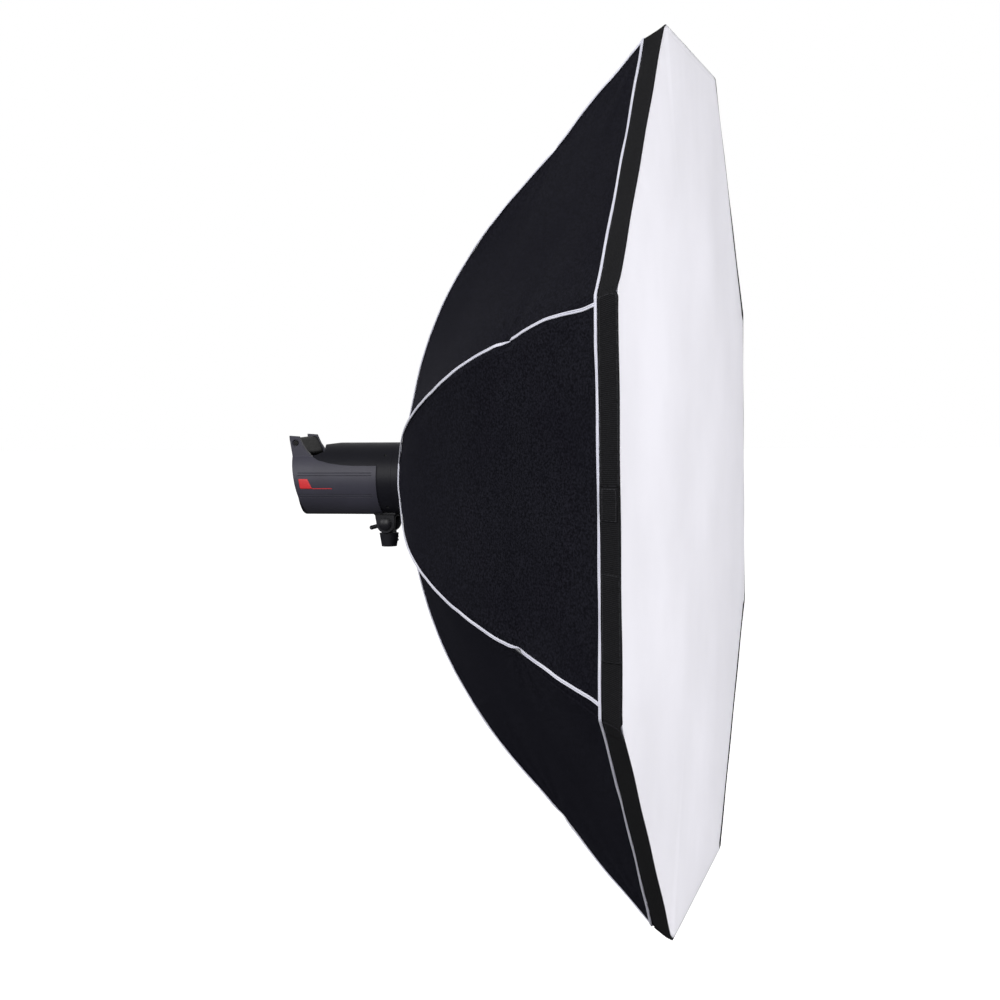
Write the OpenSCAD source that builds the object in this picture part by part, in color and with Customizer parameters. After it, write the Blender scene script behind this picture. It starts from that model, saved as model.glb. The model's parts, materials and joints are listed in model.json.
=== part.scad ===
// Octabox: an eight-sided folding softbox on a rotating speedring, carried by a
// compact flash head with a tilting stand bracket. Millimetres.
// The front (white diffuser) faces -Y, +Z is up, and the origin is at the centre of
// the stand socket's mouth. Every piece is drawn in a box frame with its origin on
// the box axis in the mounting plane, z = depth towards the front and y = up;
// upright() stands that frame up.

/* [Octagon] */
// Width of the lip across its flats
lip_flats = 1750; // [1650:1:1800]
// Depth of the lip's front edge in front of the mounting plane
lip_depth = 616; // [600:1:640]
// Slant width of the hook-and-loop lip band
band_w = 51; // [40:1:60]
// Lean of the lip band away from the box axis, degrees
band_lean = 35.5; // [25:0.5:45]

/* [Shell profile] */
// Lean of the shell seams from the box axis at the hub, degrees
seam_a0 = 72; // [68:0.5:76]
// Lean of the shell seams from the box axis at the rim, degrees
seam_a1 = 47; // [44:0.5:50]
// Length of each side of the seam's bend, measured to its corner
bend_l = 200; // [140:5:240]
// Inward sag of each shell panel at its middle
panel_sag = 22; // [0:1:40]
// Thickness of the shell fabric
cloth_t = 1.2; // [1:0.1:2.5]

/* [Rods] */
// Radius of the sprung steel rods
rod_r = 3.5; // [2.5:0.1:4]
// Gap between a rod's centre line and the seam's outer face at the rim
rod_gap = 9.5; // [9:0.5:12]
// Length of the straight tube in each rod holder
holder_len = 84; // [60:1:90]
// Radius of the circle on which the rod holders pivot
pivot_r = 94; // [93:0.5:95]
// Depth of the holder pivots in front of the mounting plane
pivot_z = 21.5; // [21:0.1:23]

/* [Inner baffle and diffuser] */
// Corner radius of the inner baffle
baffle_r = 652; // [600:1:655]
// Depth of the inner baffle
baffle_z = 384; // [380:1:386]
// Forward bulge of the front diffuser at its middle
diffuser_bulge = 12; // [0:1:20]

/* [Flash head] */
// Outer radius of the barrel
barrel_r = 78; // [78:1:78]
// Distance from the box axis down to the tilt pivot
tilt_drop = 97; // [97:1:100]
// Radius of the stand socket bore for a 5/8 inch stud
stud_bore_r = 8.05; // [8:0.01:8.2]

/* [Hidden] */

side_angle = 360 / 8;
half_cos = cos(side_angle / 2);
half_sin = sin(side_angle / 2);

// corner radii and depths of the lip, the rim where shell meets band, and the hub
lip_r = lip_flats / 2 / half_cos;
rim_r = lip_r - band_w * sin(band_lean);
rim_z = lip_depth - band_w * cos(band_lean);
hub_r = 101;
hub_z = 2.5;

stand_z = -53;
socket_drop = 21.5; // from tilt pivot to the top of the socket cone
socket_h = 29;

// ---------- frames and helpers ----------
module upright()
  translate([0, stand_z, tilt_drop + socket_drop + socket_h]) rotate([90, 0, 0]) children();

// corner half-plane k: x is radial, y is depth
function spoke_angle(k) = side_angle / 2 + side_angle * (k - 1);
module spoke(k) rotate([0, 0, spoke_angle(k)]) rotate([90, 0, 0]) children();
module all_spokes() for (k = [1:8]) spoke(k) children();
module all_sides() for (k = [1:8]) rotate([0, 0, side_angle * k]) children();

// moves to a place and turns z to point along +x
module sideways(place) translate(place) rotate([0, 90, 0]) children();

// cylinder standing at depth z
module disc(z, h, r, $fn = 32) translate([0, 0, z]) cylinder(h = h, r = r);

// part of a ring, centred on the x axis
module ring_sector(inner_r, outer_r, height, angle)
  rotate([0, 0, -angle / 2]) rotate_extrude(angle = angle, $fn = 128)
    translate([inner_r, 0]) square([outer_r - inner_r, height]);

// two triangles over a four-cornered patch
function quad(a, b, c, d) = [[a, b, c], [a, c, d]];

// ---------- seam and rod paths ----------
// A path is straight, bend, straight in a spoke's half-plane; its entries are:
START = 0;
START_LEAN = 1;
BEND_START = 2;
BEND_CENTRE = 3;
BEND_R = 4;
BEND_END = 5;
END = 6;
END_LEAN = 7;

// unit vector [radial, depth] at a lean from the box axis, and its inward normal
function along(lean) = [sin(lean), cos(lean)];
function inward(lean) = [-cos(lean), sin(lean)];

// point where the two straight lines of a path would cross
function corner(start, lean0, end, lean1) =
  let (gap = end - start)
  start + along(lean0) * (gap[0] * cos(lean1) - gap[1] * sin(lean1)) / sin(lean0 - lean1);

function make_path(start, lean0, end, lean1, leg) =
  let (
    cross = corner(start, lean0, end, lean1),
    radius = leg / tan((lean0 - lean1) / 2),
    bend_start = cross - along(lean0) * leg,
    bend_end = cross + along(lean1) * leg
  )
  [start, lean0, bend_start, bend_start + inward(lean0) * radius, radius, bend_end, end, lean1];

// lengths of the first straight, the bend and the last straight
function part_lengths(path) = [
  norm(path[BEND_START] - path[START]),
  path[BEND_R] * (path[START_LEAN] - path[END_LEAN]) * PI / 180,
  norm(path[END] - path[BEND_END])
];
function path_length(path) = part_lengths(path) * [1, 1, 1];

// lean at distance s along the path, and the point there set inwards by inset
function path_lean(path, s) =
  let (parts = part_lengths(path))
  s <= parts[0] ? path[START_LEAN] :
  s >= parts[0] + parts[1] ? path[END_LEAN] :
  path[START_LEAN] - (s - parts[0]) / path[BEND_R] * 180 / PI;
function path_point(path, s, inset = 0) =
  let (parts = part_lengths(path), straight_end = parts[0] + parts[1], lean = path_lean(path, s))
  (s <= parts[0] ? path[START] + along(lean) * s :
   s >= straight_end ? path[BEND_END] + along(lean) * (s - straight_end) :
   path[BEND_CENTRE] - inward(lean) * path[BEND_R]) + inward(lean) * inset;

// moves to a point in a spoke's half-plane and turns z along the lean
module on_line(point, lean)
  translate(concat(point, [0])) rotate([0, 90, 90 - lean]) children();

rod_setback = 6; // rod's end, back along the seam from the rim
seam = make_path([hub_r, hub_z], seam_a0, [rim_r, rim_z], seam_a1, bend_l);
rod_end = [rim_r, rim_z] + inward(seam_a1) * rod_gap - along(seam_a1) * rod_setback;
rod_path = make_path([pivot_r, pivot_z], seam_a0, rod_end, seam_a1, bend_l);

// ---------- speedring ----------
ring_r = 97.5;
ring_z = 6.3;
ring_t = 5.7;
ring_bore_r = 74;
ring_recess_r = 80.5;
cheek_r = 6.5;
cheek_t = 3.5;
cheek_inner = 7; // from the spoke's plane to a cheek's inner face
cheek_foot_z = 11;
ring_screw_circle_r = 83;
retainer_z = ring_z + ring_t + 0.05;
pin_r = 2.5;

module ring_screw_places() all_sides() translate([ring_screw_circle_r, 0, 0]) children();

module ring_body() color([0.16, 0.16, 0.17]) upright() difference() {
  union() {
    disc(ring_z, ring_t, ring_r, $fn = 128);
    // a pair of hinge cheeks at each corner
    all_spokes() for (side = [cheek_inner, -cheek_inner - cheek_t]) translate([pivot_r, 0, side]) {
      translate([0, pivot_z, 0]) cylinder(h = cheek_t, r = cheek_r, $fn = 48);
      translate([-cheek_r, cheek_foot_z, 0]) cube([10.5, pivot_z - cheek_foot_z, cheek_t]);
    }
  }
  disc(4, 10, ring_bore_r, $fn = 128);
  disc(7, 10, ring_recess_r, $fn = 128);
  ring_screw_places() disc(7.4, 8, 1.5, $fn = 24);
  all_spokes() translate([pivot_r, pivot_z, 0]) disc(-12, 24, pin_r + 0.05);
}

module glide_ring() color([0.85, 0.85, 0.8]) upright() difference() {
  disc(7.1, 1, ring_recess_r - 0.5, $fn = 128);
  disc(6, 3, ring_bore_r + 1, $fn = 128);
}

module retaining_ring() color([0.7, 0.71, 0.73]) upright() difference() {
  disc(retainer_z, 1.5, 85.5, $fn = 128);
  disc(11, 4, 73, $fn = 128);
  ring_screw_places() disc(11, 4, 1.6, $fn = 24);
}

module ring_screws() color([0.75, 0.75, 0.77]) upright() ring_screw_places() difference() {
  union() {
    disc(7.6, 6.1, 1.42, $fn = 24);
    disc(13.6, 1.8, 2.4);
  }
  // hexagonal drive
  disc(14.6, 2, 1.25, $fn = 6);
}

module hinge_pins() color([0.78, 0.78, 0.8]) upright()
  all_spokes() translate([pivot_r, pivot_z, 0]) {
    disc(-12.2, 22.85, pin_r);
    disc(10.6, 1.5, 4);
  }

module pin_clips() color([0.6, 0.6, 0.62]) upright()
  all_spokes() translate([pivot_r, pivot_z, -11.4]) difference() {
    disc(0, 0.7, 4.4);
    disc(-1, 3, pin_r + 0.03);
  }

// ---------- rods ----------
holder_r = 6.3;
holder_collar_len = 9;
rod_seat = 15;    // rod's start, measured from the pivot
ferrule_len = 32;
bend_trim = 2;    // straights stop this far short of the bend
bend_trim_a = 0.13; // degrees taken off each end of the bend
cap_r = 5.2;

module rod_holder(k) color([0.12, 0.12, 0.13]) upright() spoke(k)
  translate([pivot_r, pivot_z, 0]) difference() {
    union() {
      disc(-6.7, 13.4, holder_r, $fn = 48);
      on_line([0, 0], seam_a0) disc(2, holder_len - 2, holder_r, $fn = 48);
      on_line([0, 0], seam_a0)
        disc(holder_len - holder_collar_len, holder_collar_len, 7.4, $fn = 48);
      translate([0, -9.1, -5]) cube([4.5, 8, 10]);
    }
    disc(-12, 24, pin_r + 0.08);
    on_line([0, 0], seam_a0) disc(14, holder_len, rod_r + 0.1);
  }

// two straights and a bend, joined by ferrules
module rod_bar() {
  parts = part_lengths(rod_path);
  bend_a = seam_a0 - seam_a1;
  on_line(path_point(rod_path, rod_seat), seam_a0)
    disc(0, parts[0] - rod_seat - bend_trim, rod_r);
  translate(concat(rod_path[BEND_CENTRE], [0])) rotate([0, 0, -seam_a0 + bend_trim_a])
    rotate_extrude(angle = bend_a - 2 * bend_trim_a, $fn = 360)
      translate([rod_path[BEND_R], 0]) circle(r = rod_r, $fn = 32);
  on_line(path_point(rod_path, parts[0] + parts[1] + bend_trim), seam_a1)
    disc(0, parts[2] - bend_trim, rod_r);
  for (joint = [[rod_path[BEND_START], seam_a0], [rod_path[BEND_END], seam_a1]])
    on_line(joint[0], joint[1])
      cylinder(h = ferrule_len, r = rod_r + 1, center = true, $fn = 32);
}

// moulded cap with a half-round nose, bonded on the rod's end
module rod_cap() on_line(rod_end, seam_a1) difference() {
  union() {
    disc(-14, 16, cap_r);
    translate([0, 0, 2]) intersection() {
      sphere(r = cap_r, $fn = 32);
      cylinder(h = 6, r = 6, $fn = 32);
    }
  }
  disc(-20, 20.05, rod_r + 0.05);
}

module rod(k) upright() spoke(k) {
  color([0.55, 0.56, 0.58]) rod_bar();
  color([0.08, 0.08, 0.08]) rod_cap();
}

// ---------- soft goods ----------
panel_rows = 15;       // from hub to rim
panel_cols = 8;        // from seam to seam
panel_edge_gap = 3.2;  // from a panel's edge to the corner plane
band_start = 1.2;      // gap between the rim and the lip band
piping_r = 2.4;
seam_piping_w = 4.4;
seam_piping_steps = 26;
sheet_t = 0.8;
strap_w = 16;

// point of a panel, with inset 0 on its outer face and cloth_t on its inner face
function panel_point(row, col, inset) =
  let (
    part = row / panel_rows,
    across = 2 * col / panel_cols - 1,
    s = part * (path_length(seam) - 1),
    edge = path_point(seam, s, inset),
    sag = panel_sag * sin(180 * pow(part, 0.9)) * (1 - across * across),
    shift = inward(path_lean(seam, s)) * sag
  )
  [edge[0] * half_cos + shift[0], (edge[0] * half_sin - panel_edge_gap) * across,
   edge[1] + shift[1]];

// index of a panel point; layer 0 is the outer face, 1 the inner
function panel_id(row, col, layer) =
  (layer * (panel_rows + 1) + row) * (panel_cols + 1) + col;

// closed sheet between two seams, drawn in by its own tension
module shell_panel(k) color([0.09, 0.09, 0.12]) upright() rotate([0, 0, side_angle * k]) {
  points = [for (inset = [0, cloth_t]) for (i = [0:panel_rows]) for (j = [0:panel_cols])
    panel_point(i, j, inset)];
  faces = concat(
    // outer and inner faces
    [for (i = [0:panel_rows - 1]) for (j = [0:panel_cols - 1])
      each quad(panel_id(i, j, 0), panel_id(i, j + 1, 0),
        panel_id(i + 1, j + 1, 0), panel_id(i + 1, j, 0))],
    [for (i = [0:panel_rows - 1]) for (j = [0:panel_cols - 1])
      each quad(panel_id(i, j, 1), panel_id(i + 1, j, 1),
        panel_id(i + 1, j + 1, 1), panel_id(i, j + 1, 1))],
    // the two seam edges
    [for (i = [0:panel_rows - 1])
      each quad(panel_id(i, 0, 0), panel_id(i + 1, 0, 0),
        panel_id(i + 1, 0, 1), panel_id(i, 0, 1))],
    [for (i = [0:panel_rows - 1])
      each quad(panel_id(i, panel_cols, 0), panel_id(i, panel_cols, 1),
        panel_id(i + 1, panel_cols, 1), panel_id(i + 1, panel_cols, 0))],
    // hub edge and rim edge
    [for (j = [0:panel_cols - 1])
      each quad(panel_id(0, j, 0), panel_id(0, j, 1),
        panel_id(0, j + 1, 1), panel_id(0, j + 1, 0))],
    [for (j = [0:panel_cols - 1])
      each quad(panel_id(panel_rows, j, 0), panel_id(panel_rows, j + 1, 0),
        panel_id(panel_rows, j + 1, 1), panel_id(panel_rows, j, 1))]
  );
  polyhedron(points = points, faces = faces, convexity = 4);
}

module rear_collar() color([0.08, 0.08, 0.09]) upright() difference() {
  disc(1.4, 1.8, 91.5, $fn = 128);
  disc(0, 6, 84, $fn = 128);
}

// eight flat strips leaning outwards from the rim to the lip
module lip_band() color([0.06, 0.06, 0.06]) upright() all_sides() {
  // section corners: distance along the slant, distance inwards
  section = [[band_start, 0], [band_w, 0], [band_w, cloth_t], [band_start, cloth_t]];
  corners = [for (c = section)
    let (x = (rim_r + c[0] * sin(band_lean)) * half_cos - cos(band_lean) * c[1])
    [x, x * half_sin / half_cos - 0.6, rim_z + c[0] * cos(band_lean) + sin(band_lean) * c[1]]];
  polyhedron(
    points = concat([for (p = corners) [p[0], -p[1], p[2]]], corners),
    faces = [[0, 1, 2, 3], [7, 6, 5, 4], [0, 4, 5, 1], [1, 5, 6, 2], [2, 6, 7, 3], [3, 7, 4, 0]]);
}

module rod_pockets() color([0.07, 0.07, 0.08]) upright()
  all_spokes() on_line(rod_end, seam_a1) difference() {
    disc(-22, 31.4, 6.9, $fn = 40);
    disc(-24, 32.2, 6, $fn = 40);
  }

module rim_piping() color([0.8, 0.8, 0.85]) upright() all_sides() {
  corner_r = rim_r + 3.4;
  translate([corner_r * half_cos, 0, rim_z - 2.6]) rotate([90, 0, 0])
    cylinder(h = 2 * (corner_r * half_sin - 4.5), r = piping_r, center = true, $fn = 24);
}

// outline that follows the seam out at one inset and back at the other
function seam_strip(s0, s1, inset0, inset1, steps) = concat(
  [for (i = [0:steps]) path_point(seam, s0 + (s1 - s0) * i / steps, inset0)],
  [for (i = [steps:-1:0]) path_point(seam, s0 + (s1 - s0) * i / steps, inset1)]);

module seam_piping() color([0.8, 0.8, 0.85]) upright() all_spokes()
  translate([0, 0, -seam_piping_w / 2]) linear_extrude(height = seam_piping_w)
    polygon(seam_strip(s0 = 2, s1 = path_length(seam) - 6,
      inset0 = -0.8, inset1 = -5, steps = seam_piping_steps));

module inner_baffle() color([0.95, 0.95, 0.96]) upright() rotate([0, 0, side_angle / 2])
  disc(baffle_z, sheet_t, baffle_r, $fn = 8);

module baffle_straps() color([0.9, 0.9, 0.9]) upright()
  for (k = [1:8]) rotate([0, 0, spoke_angle(k)])
    translate([baffle_r + 1, -strap_w / 2, baffle_z]) cube([38, strap_w, sheet_t]);

diffuser_rings = 6;
diffuser_t = 1;
diffuser_z = lip_depth - 10;
diffuser_r = rim_r + (diffuser_z - rim_z) * tan(band_lean) - 5;

function diffuser_point(i, j, drop) =
  let (part = i / diffuser_rings, r = diffuser_r * part)
  [r * cos(side_angle * j), r * sin(side_angle * j),
   diffuser_z + diffuser_bulge * (1 - part * part) - drop];
// index of a point on the front face; ring 0 is the single middle point
function diffuser_id(i, j) = i == 0 ? 0 : 1 + (i - 1) * 8 + j % 8;

// domed eight-sided sheet inside the lip
module front_diffuser() color([0.97, 0.97, 0.98]) upright() rotate([0, 0, side_angle / 2]) {
  points = [for (drop = [0, diffuser_t]) each concat(
    [diffuser_point(0, 0, drop)],
    [for (i = [1:diffuser_rings]) for (j = [0:7]) diffuser_point(i, j, drop)])];
  back = 1 + diffuser_rings * 8; // index of the first point on the back face
  faces = concat(
    [for (j = [0:7]) [0, diffuser_id(1, j + 1), diffuser_id(1, j)]],
    [for (j = [0:7]) [back, back + diffuser_id(1, j), back + diffuser_id(1, j + 1)]],
    [for (i = [1:diffuser_rings - 1]) for (j = [0:7])
      let (a = diffuser_id(i, j), b = diffuser_id(i, j + 1),
        c = diffuser_id(i + 1, j + 1), d = diffuser_id(i + 1, j))
      each concat(quad(a, b, c, d), quad(back + a, back + d, back + c, back + b))],
    [for (j = [0:7])
      let (a = diffuser_id(diffuser_rings, j), b = diffuser_id(diffuser_rings, j + 1))
      each quad(a, b, back + b, back + a)]
  );
  polyhedron(points = points, faces = faces, convexity = 4);
}

// ---------- flash head, front ----------
lock_angle = 30;
lock_r = 75.2;
lock_pin_r = 1.3;
lock_w = 11.4;
tube_r = 30;
tube_z = 22;
lamp_r = 9;
lamp_tip_z = 24;
dome_r = 50;
dome_bore_r = 47.5;
dome_base_z = -24;
dome_z = 30; // centre of the dome's round end

module bayonet_thirds() for (k = [0:2]) rotate([0, 0, 90 + 120 * k]) children();
module lock_pin_hole(z, h)
  rotate([0, 0, lock_angle]) translate([lock_r, 0, 0]) disc(z, h, lock_pin_r + 0.1, $fn = 24);

module bayonet_insert() color([0.68, 0.69, 0.71]) upright() difference() {
  union() {
    disc(-14, 24, 66.5, $fn = 128);
    disc(0.3, 2.6, barrel_r, $fn = 128);
    disc(2.5, 6, 73, $fn = 128);
    disc(8.3, 3.4, 80, $fn = 128);
    bayonet_thirds() translate([0, 0, -13.6]) ring_sector(64.6, 71.4, height = 4, angle = 40);
  }
  disc(-20, 40, 62, $fn = 128);
  // blind
  lock_pin_hole(-1, 3);
}

module front_collar() color([0.1, 0.1, 0.11]) upright() difference() {
  union() {
    difference() {
      disc(-24, 24, barrel_r, $fn = 128);
      disc(-30, 40, 72, $fn = 128);
    }
    bayonet_thirds() translate([0, 0, -9]) ring_sector(67, 73, height = 4.5, angle = 50);
  }
  lock_pin_hole(-30, 40);
  rotate([0, 0, lock_angle]) translate([73.7, -6, -19]) cube([10, 12, 13]);
}

// pin and ribbed slider
module bayonet_lock() color([0.2, 0.2, 0.21]) upright() rotate([0, 0, lock_angle]) {
  translate([lock_r, 0, 0]) disc(-13, 14.2, lock_pin_r, $fn = 24);
  translate([74, -lock_w / 2, -14.2]) cube([7, lock_w, 7.8]);
  for (i = [0:2]) translate([80.8, -lock_w / 2, -13.4 + 2.6 * i]) cube([0.9, lock_w, 1.2]);
}

module lamp_plate() color([0.9, 0.9, 0.88]) upright() difference() {
  disc(-27.5, 3, 73.4, $fn = 128);
  for (side = [-1, 1]) translate([29.5, 5.21 * side, 0]) disc(-30, 10, 3.8);
  disc(-30, 10, 15, $fn = 48);
}

// nearly closed ring on two legs
module flash_tube() color([0.92, 0.93, 0.95, 0.6]) upright() {
  translate([0, 0, tube_z]) rotate([0, 0, 3]) rotate_extrude(angle = 354, $fn = 96)
    translate([tube_r, 0]) circle(r = 4, $fn = 32);
  for (side = [-1, 1]) rotate([0, 0, side * 10]) translate([tube_r, 0, 0])
    disc(-32, tube_z + 32, 3.4);
}

module modelling_lamp() color([0.95, 0.95, 0.9, 0.7]) upright() {
  disc(-40, 32, 13, $fn = 48);
  disc(-8, lamp_tip_z + 8, lamp_r, $fn = 48);
  translate([0, 0, lamp_tip_z]) intersection() {
    sphere(r = lamp_r, $fn = 48);
    cylinder(h = 12, r = lamp_r + 1, $fn = 48);
  }
}

module glass_dome() color([0.9, 0.93, 0.95, 0.35]) upright() rotate_extrude($fn = 96)
  difference() {
    union() {
      translate([0, dome_base_z]) square([dome_r, dome_z - dome_base_z]);
      intersection() {
        translate([0, dome_z]) circle(r = dome_r, $fn = 96);
        translate([0, dome_z]) square([60, 60]);
      }
    }
    translate([-1, -30]) square([dome_bore_r + 1, dome_z + 30]);
    intersection() {
      translate([0, dome_z]) circle(r = dome_bore_r, $fn = 96);
      translate([-1, dome_z - 1]) square([60, 60]);
    }
    translate([-60, -40]) square([60, 140]);
  }

// ---------- flash head, body ----------
rear_rake = atan(0.17); // lean of the rear face
rear_z = -239;          // depth of the rear face on the box axis
rear_curve_r = 260;
housing_bore_r = barrel_r - 4;
inner_fit_r = housing_bore_r - 0.3;
shell_r = barrel_r + 2.4;
handle_place = [0, 80, -241];
handle_pin_r = 3;
// places in the rear face's frame
dial_place = [34, 10, 0];
button_place = [-34, 10, 0];
switch_place = [-22, 41.5, 0];

// side shell seen from the side: depth, height
side_outline = [
  [-56, 31], [-111, 31], [-138, 33], [-164, 36.5], [-190, 43], [-205, 51.5],
  [-216, 62.5], [-225, 75.5], [-230, 86], [-233.5, 94], [-255, 95.5],
  [-254.5, 88], [-251, 66], [-246.9, 37], [-239.2, -10.5], [-233.7, -40.6],
  [-229, -60], [-224, -76], [-56, -76]
];

// frame on the raked rear face: y points down, z out of the back
module rear_frame() translate([0, 0, rear_z]) rotate([180 - rear_rake, 0, 0]) children();
// frame on the sloping floor of the finger recess under the handle
module recess_frame() translate([0, 62, -179]) rotate([-26, 0, 0]) children();
// two screws on each side of the barrel, z pointing outwards
module housing_screw_places()
  for (side = [-1, 1]) for (y = [52, -59])
    translate([side * sqrt(barrel_r * barrel_r - y * y), y, -40]) rotate([0, side * 90, 0])
      children();

module head_housing() color([0.1, 0.1, 0.11]) upright() difference() {
  disc(-268, 243.8, barrel_r, $fn = 128);
  disc(-280, 280, housing_bore_r, $fn = 128);
  // rear rim, rounded in plan
  rear_frame() difference() {
    translate([-120, -120, -1]) cube([240, 240, 80]);
    translate([0, -130, 12 - rear_curve_r]) rotate([-90, 0, 0])
      cylinder(h = 260, r = rear_curve_r, $fn = 256);
  }
  // finger recess, and the top's fall towards it
  recess_frame() translate([-100, 0, -140]) cube([200, 100, 140]);
  translate([0, 78.2, -156]) rotate([-6.3, 0, 0]) translate([-100, 0, -100]) cube([200, 40, 100]);
  // cooling slots in the underside
  for (i = [0:10]) translate([-33, -90, -172 + i * 8]) cube([66, 24, 4.2]);
  housing_screw_places() disc(-30, 60, 2.6, $fn = 24);
}

module housing_screws() color([0.3, 0.3, 0.31]) upright() housing_screw_places() difference() {
  disc(-7, 4.6, 2.45, $fn = 24);
  disc(-4, 3, 1.2, $fn = 6);
}

// side outline as a prism between two x positions
module side_prism(x0, x1)
  translate([x0, 0, 0]) rotate([0, -90, 0]) mirror([0, 0, 1])
    linear_extrude(height = x1 - x0) polygon(side_outline);
module shell_bore() disc(-261, 212, barrel_r + 0.2, $fn = 128);

// side -1 is the -X shell, 1 the +X shell
module side_shell(side) color([0.27, 0.27, 0.31]) upright()
  mirror([side < 0 ? 1 : 0, 0, 0]) difference() {
    union() {
      // skin around the barrel, reaching further in below the axis
      intersection() {
        difference() {
          disc(-260, 210, shell_r, $fn = 128);
          shell_bore();
        }
        union() {
          side_prism(54, 90);
          intersection() {
            side_prism(34, 90);
            translate([0, -100, -300]) cube([100, 100, 300]);
          }
        }
      }
      // flat ear that carries the handle
      difference() {
        intersection() {
          side_prism(54, 62);
          translate([50, 40, -260]) cube([20, 60, 100]);
        }
        shell_bore();
      }
    }
    // recessed hole for the handle screw
    sideways(handle_place + [57, 0, 0]) cylinder(h = 30, r = 7.6, $fn = 48);
    sideways(handle_place + [50, 0, 0]) cylinder(h = 30, r = 3.1, $fn = 32);
    // two pairs of long grooves
    for (y = [15, 9.5, -31.5, -37])
      translate([sqrt(pow(shell_r, 2) - y * y) - 1.3, y, -232]) cube([4, 1.5, 166]);
  }

// teardrop bar with a headed pin at each end
module handle_bar() color([0.08, 0.08, 0.09]) upright() sideways(handle_place) {
  difference() {
    translate([0, 0, -53.7]) linear_extrude(height = 107.4) {
      circle(r = 11, $fn = 64);
      translate([-12, -21]) circle(r = 9.5, $fn = 64);
      polygon([[9.55, -5.46], [-9.55, 5.46], [-20.25, -16.29], [-3.75, -25.71]]);
    }
    for (side = [-1, 1]) disc(side * 50 - 12, 24, handle_pin_r + 0.05);
  }
  for (side = [-1, 1]) mirror([0, 0, side < 0 ? 1 : 0]) {
    disc(38.2, 18.9, handle_pin_r);
    disc(57.05, 3, 5);
  }
}

module handle_tray() color([0.07, 0.07, 0.08]) upright() intersection() {
  disc(-260, 260, inner_fit_r, $fn = 128);
  recess_frame() translate([-100, -3, -140]) cube([200, 2.6, 137]);
  rear_frame() translate([-120, -120, -90]) cube([240, 240, 89]);
}

module rear_panel() color([0.15, 0.15, 0.16]) upright() difference() {
  intersection() {
    disc(-260, 260, inner_fit_r, $fn = 128);
    rear_frame() translate([-120, -26, -6]) cube([240, 140, 4]);
  }
  rear_frame() {
    translate(dial_place) disc(-10, 20, 4.1);
    translate(button_place) disc(-10, 20, 5.2);
    translate(switch_place + [-11, -7.5, -10]) cube([22, 15, 20]);
    // two shallow rectangular recesses
    translate([6, 32, -3.6]) cube([27, 20, 20]);
    translate([-19, 0, -3.2]) cube([38, 20, 20]);
  }
}

module control_dial() color([0.12, 0.12, 0.13]) upright() rear_frame()
  translate(dial_place) difference() {
    union() {
      disc(-1.6, 11, 12, $fn = 64);
      disc(-9, 8, 4);
    }
    for (i = [0:17]) rotate([0, 0, 20 * i]) translate([12.3, 0, 0]) disc(1, 12, 0.9, $fn = 16);
  }

module test_button() color([0.8, 0.8, 0.8]) upright() rear_frame() translate(button_place) {
  disc(-8, 9, 5, $fn = 48);
  disc(-8.8, 1, 6.5, $fn = 48);
}

// rocker with its pivot across the panel
module power_switch() color([0.05, 0.05, 0.05]) upright() rear_frame()
  sideways(switch_place + [0, 0, -4.5]) intersection() {
    disc(-10.2, 20.4, 6.9, $fn = 64);
    translate([-6.4, -7, -11]) cube([10, 14, 22]);
  }

// ---------- stand bracket ----------
tilt_place = [0, -tilt_drop, stand_z];
knob_place = tilt_place - [0, 36, 0];
bolt_r = 4;
socket_w = 27;
socket_eye_r = 14.4;
lug_t = 13;
lug_inner = 14.2; // from the middle to a lug's inner face
saddle_r = barrel_r + 0.2;
saddle_len = 48;
lever_z = 39.4;
lever_len = 54;

// saddle under the barrel, with two lugs that hold the tilt bolt
module tilt_yoke() color([0.09, 0.09, 0.1]) upright() difference() {
  union() {
    translate([0, 0, stand_z - saddle_len / 2]) rotate([0, 0, -90])
      ring_sector(saddle_r, saddle_r + 4, height = saddle_len, angle = 44);
    for (x = [lug_inner, -lug_inner - lug_t]) sideways(tilt_place + [x, 0, 0])
      linear_extrude(height = lug_t) {
        circle(r = 20, $fn = 64);
        polygon([[-20, 0], [20, 0], [25, 30], [-21, 30]]);
      }
  }
  disc(stand_z - 60, 120, saddle_r, $fn = 128);
  sideways(tilt_place) disc(-40, 80, bolt_r + 0.1);
}

module stand_socket() color([0.09, 0.09, 0.1]) upright() difference() {
  union() {
    sideways(tilt_place) disc(-socket_w / 2, socket_w, socket_eye_r, $fn = 64);
    translate(tilt_place + [-socket_w / 2, -23, -13]) cube([socket_w, 23, 26]);
    translate(tilt_place - [0, socket_drop, 0]) rotate([90, 0, 0])
      cylinder(h = socket_h, r1 = 21, r2 = 16.5, $fn = 64);
  }
  // bore for the stand's stud, open at the bottom
  translate(tilt_place - [0, 18, 0]) rotate([90, 0, 0]) cylinder(h = 50, r = stud_bore_r, $fn = 64);
  sideways(tilt_place) disc(-30, 60, bolt_r + 0.1);
  // side hole for the lock screw
  sideways(knob_place) cylinder(h = 30, r = bolt_r + 0.05, $fn = 32);
}

module tilt_bolt() color([0.12, 0.12, 0.13]) upright() sideways(tilt_place) {
  disc(-27.6, 60, bolt_r);
  // round cap on the -X side
  disc(-32.6, 5.1, 13.6, $fn = 64);
  translate([0, 0, -32.5]) intersection() {
    translate([0, 0, 18]) sphere(r = 22.5, $fn = 64);
    disc(-6, 6.1, 13.4, $fn = 64);
  }
}

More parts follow.
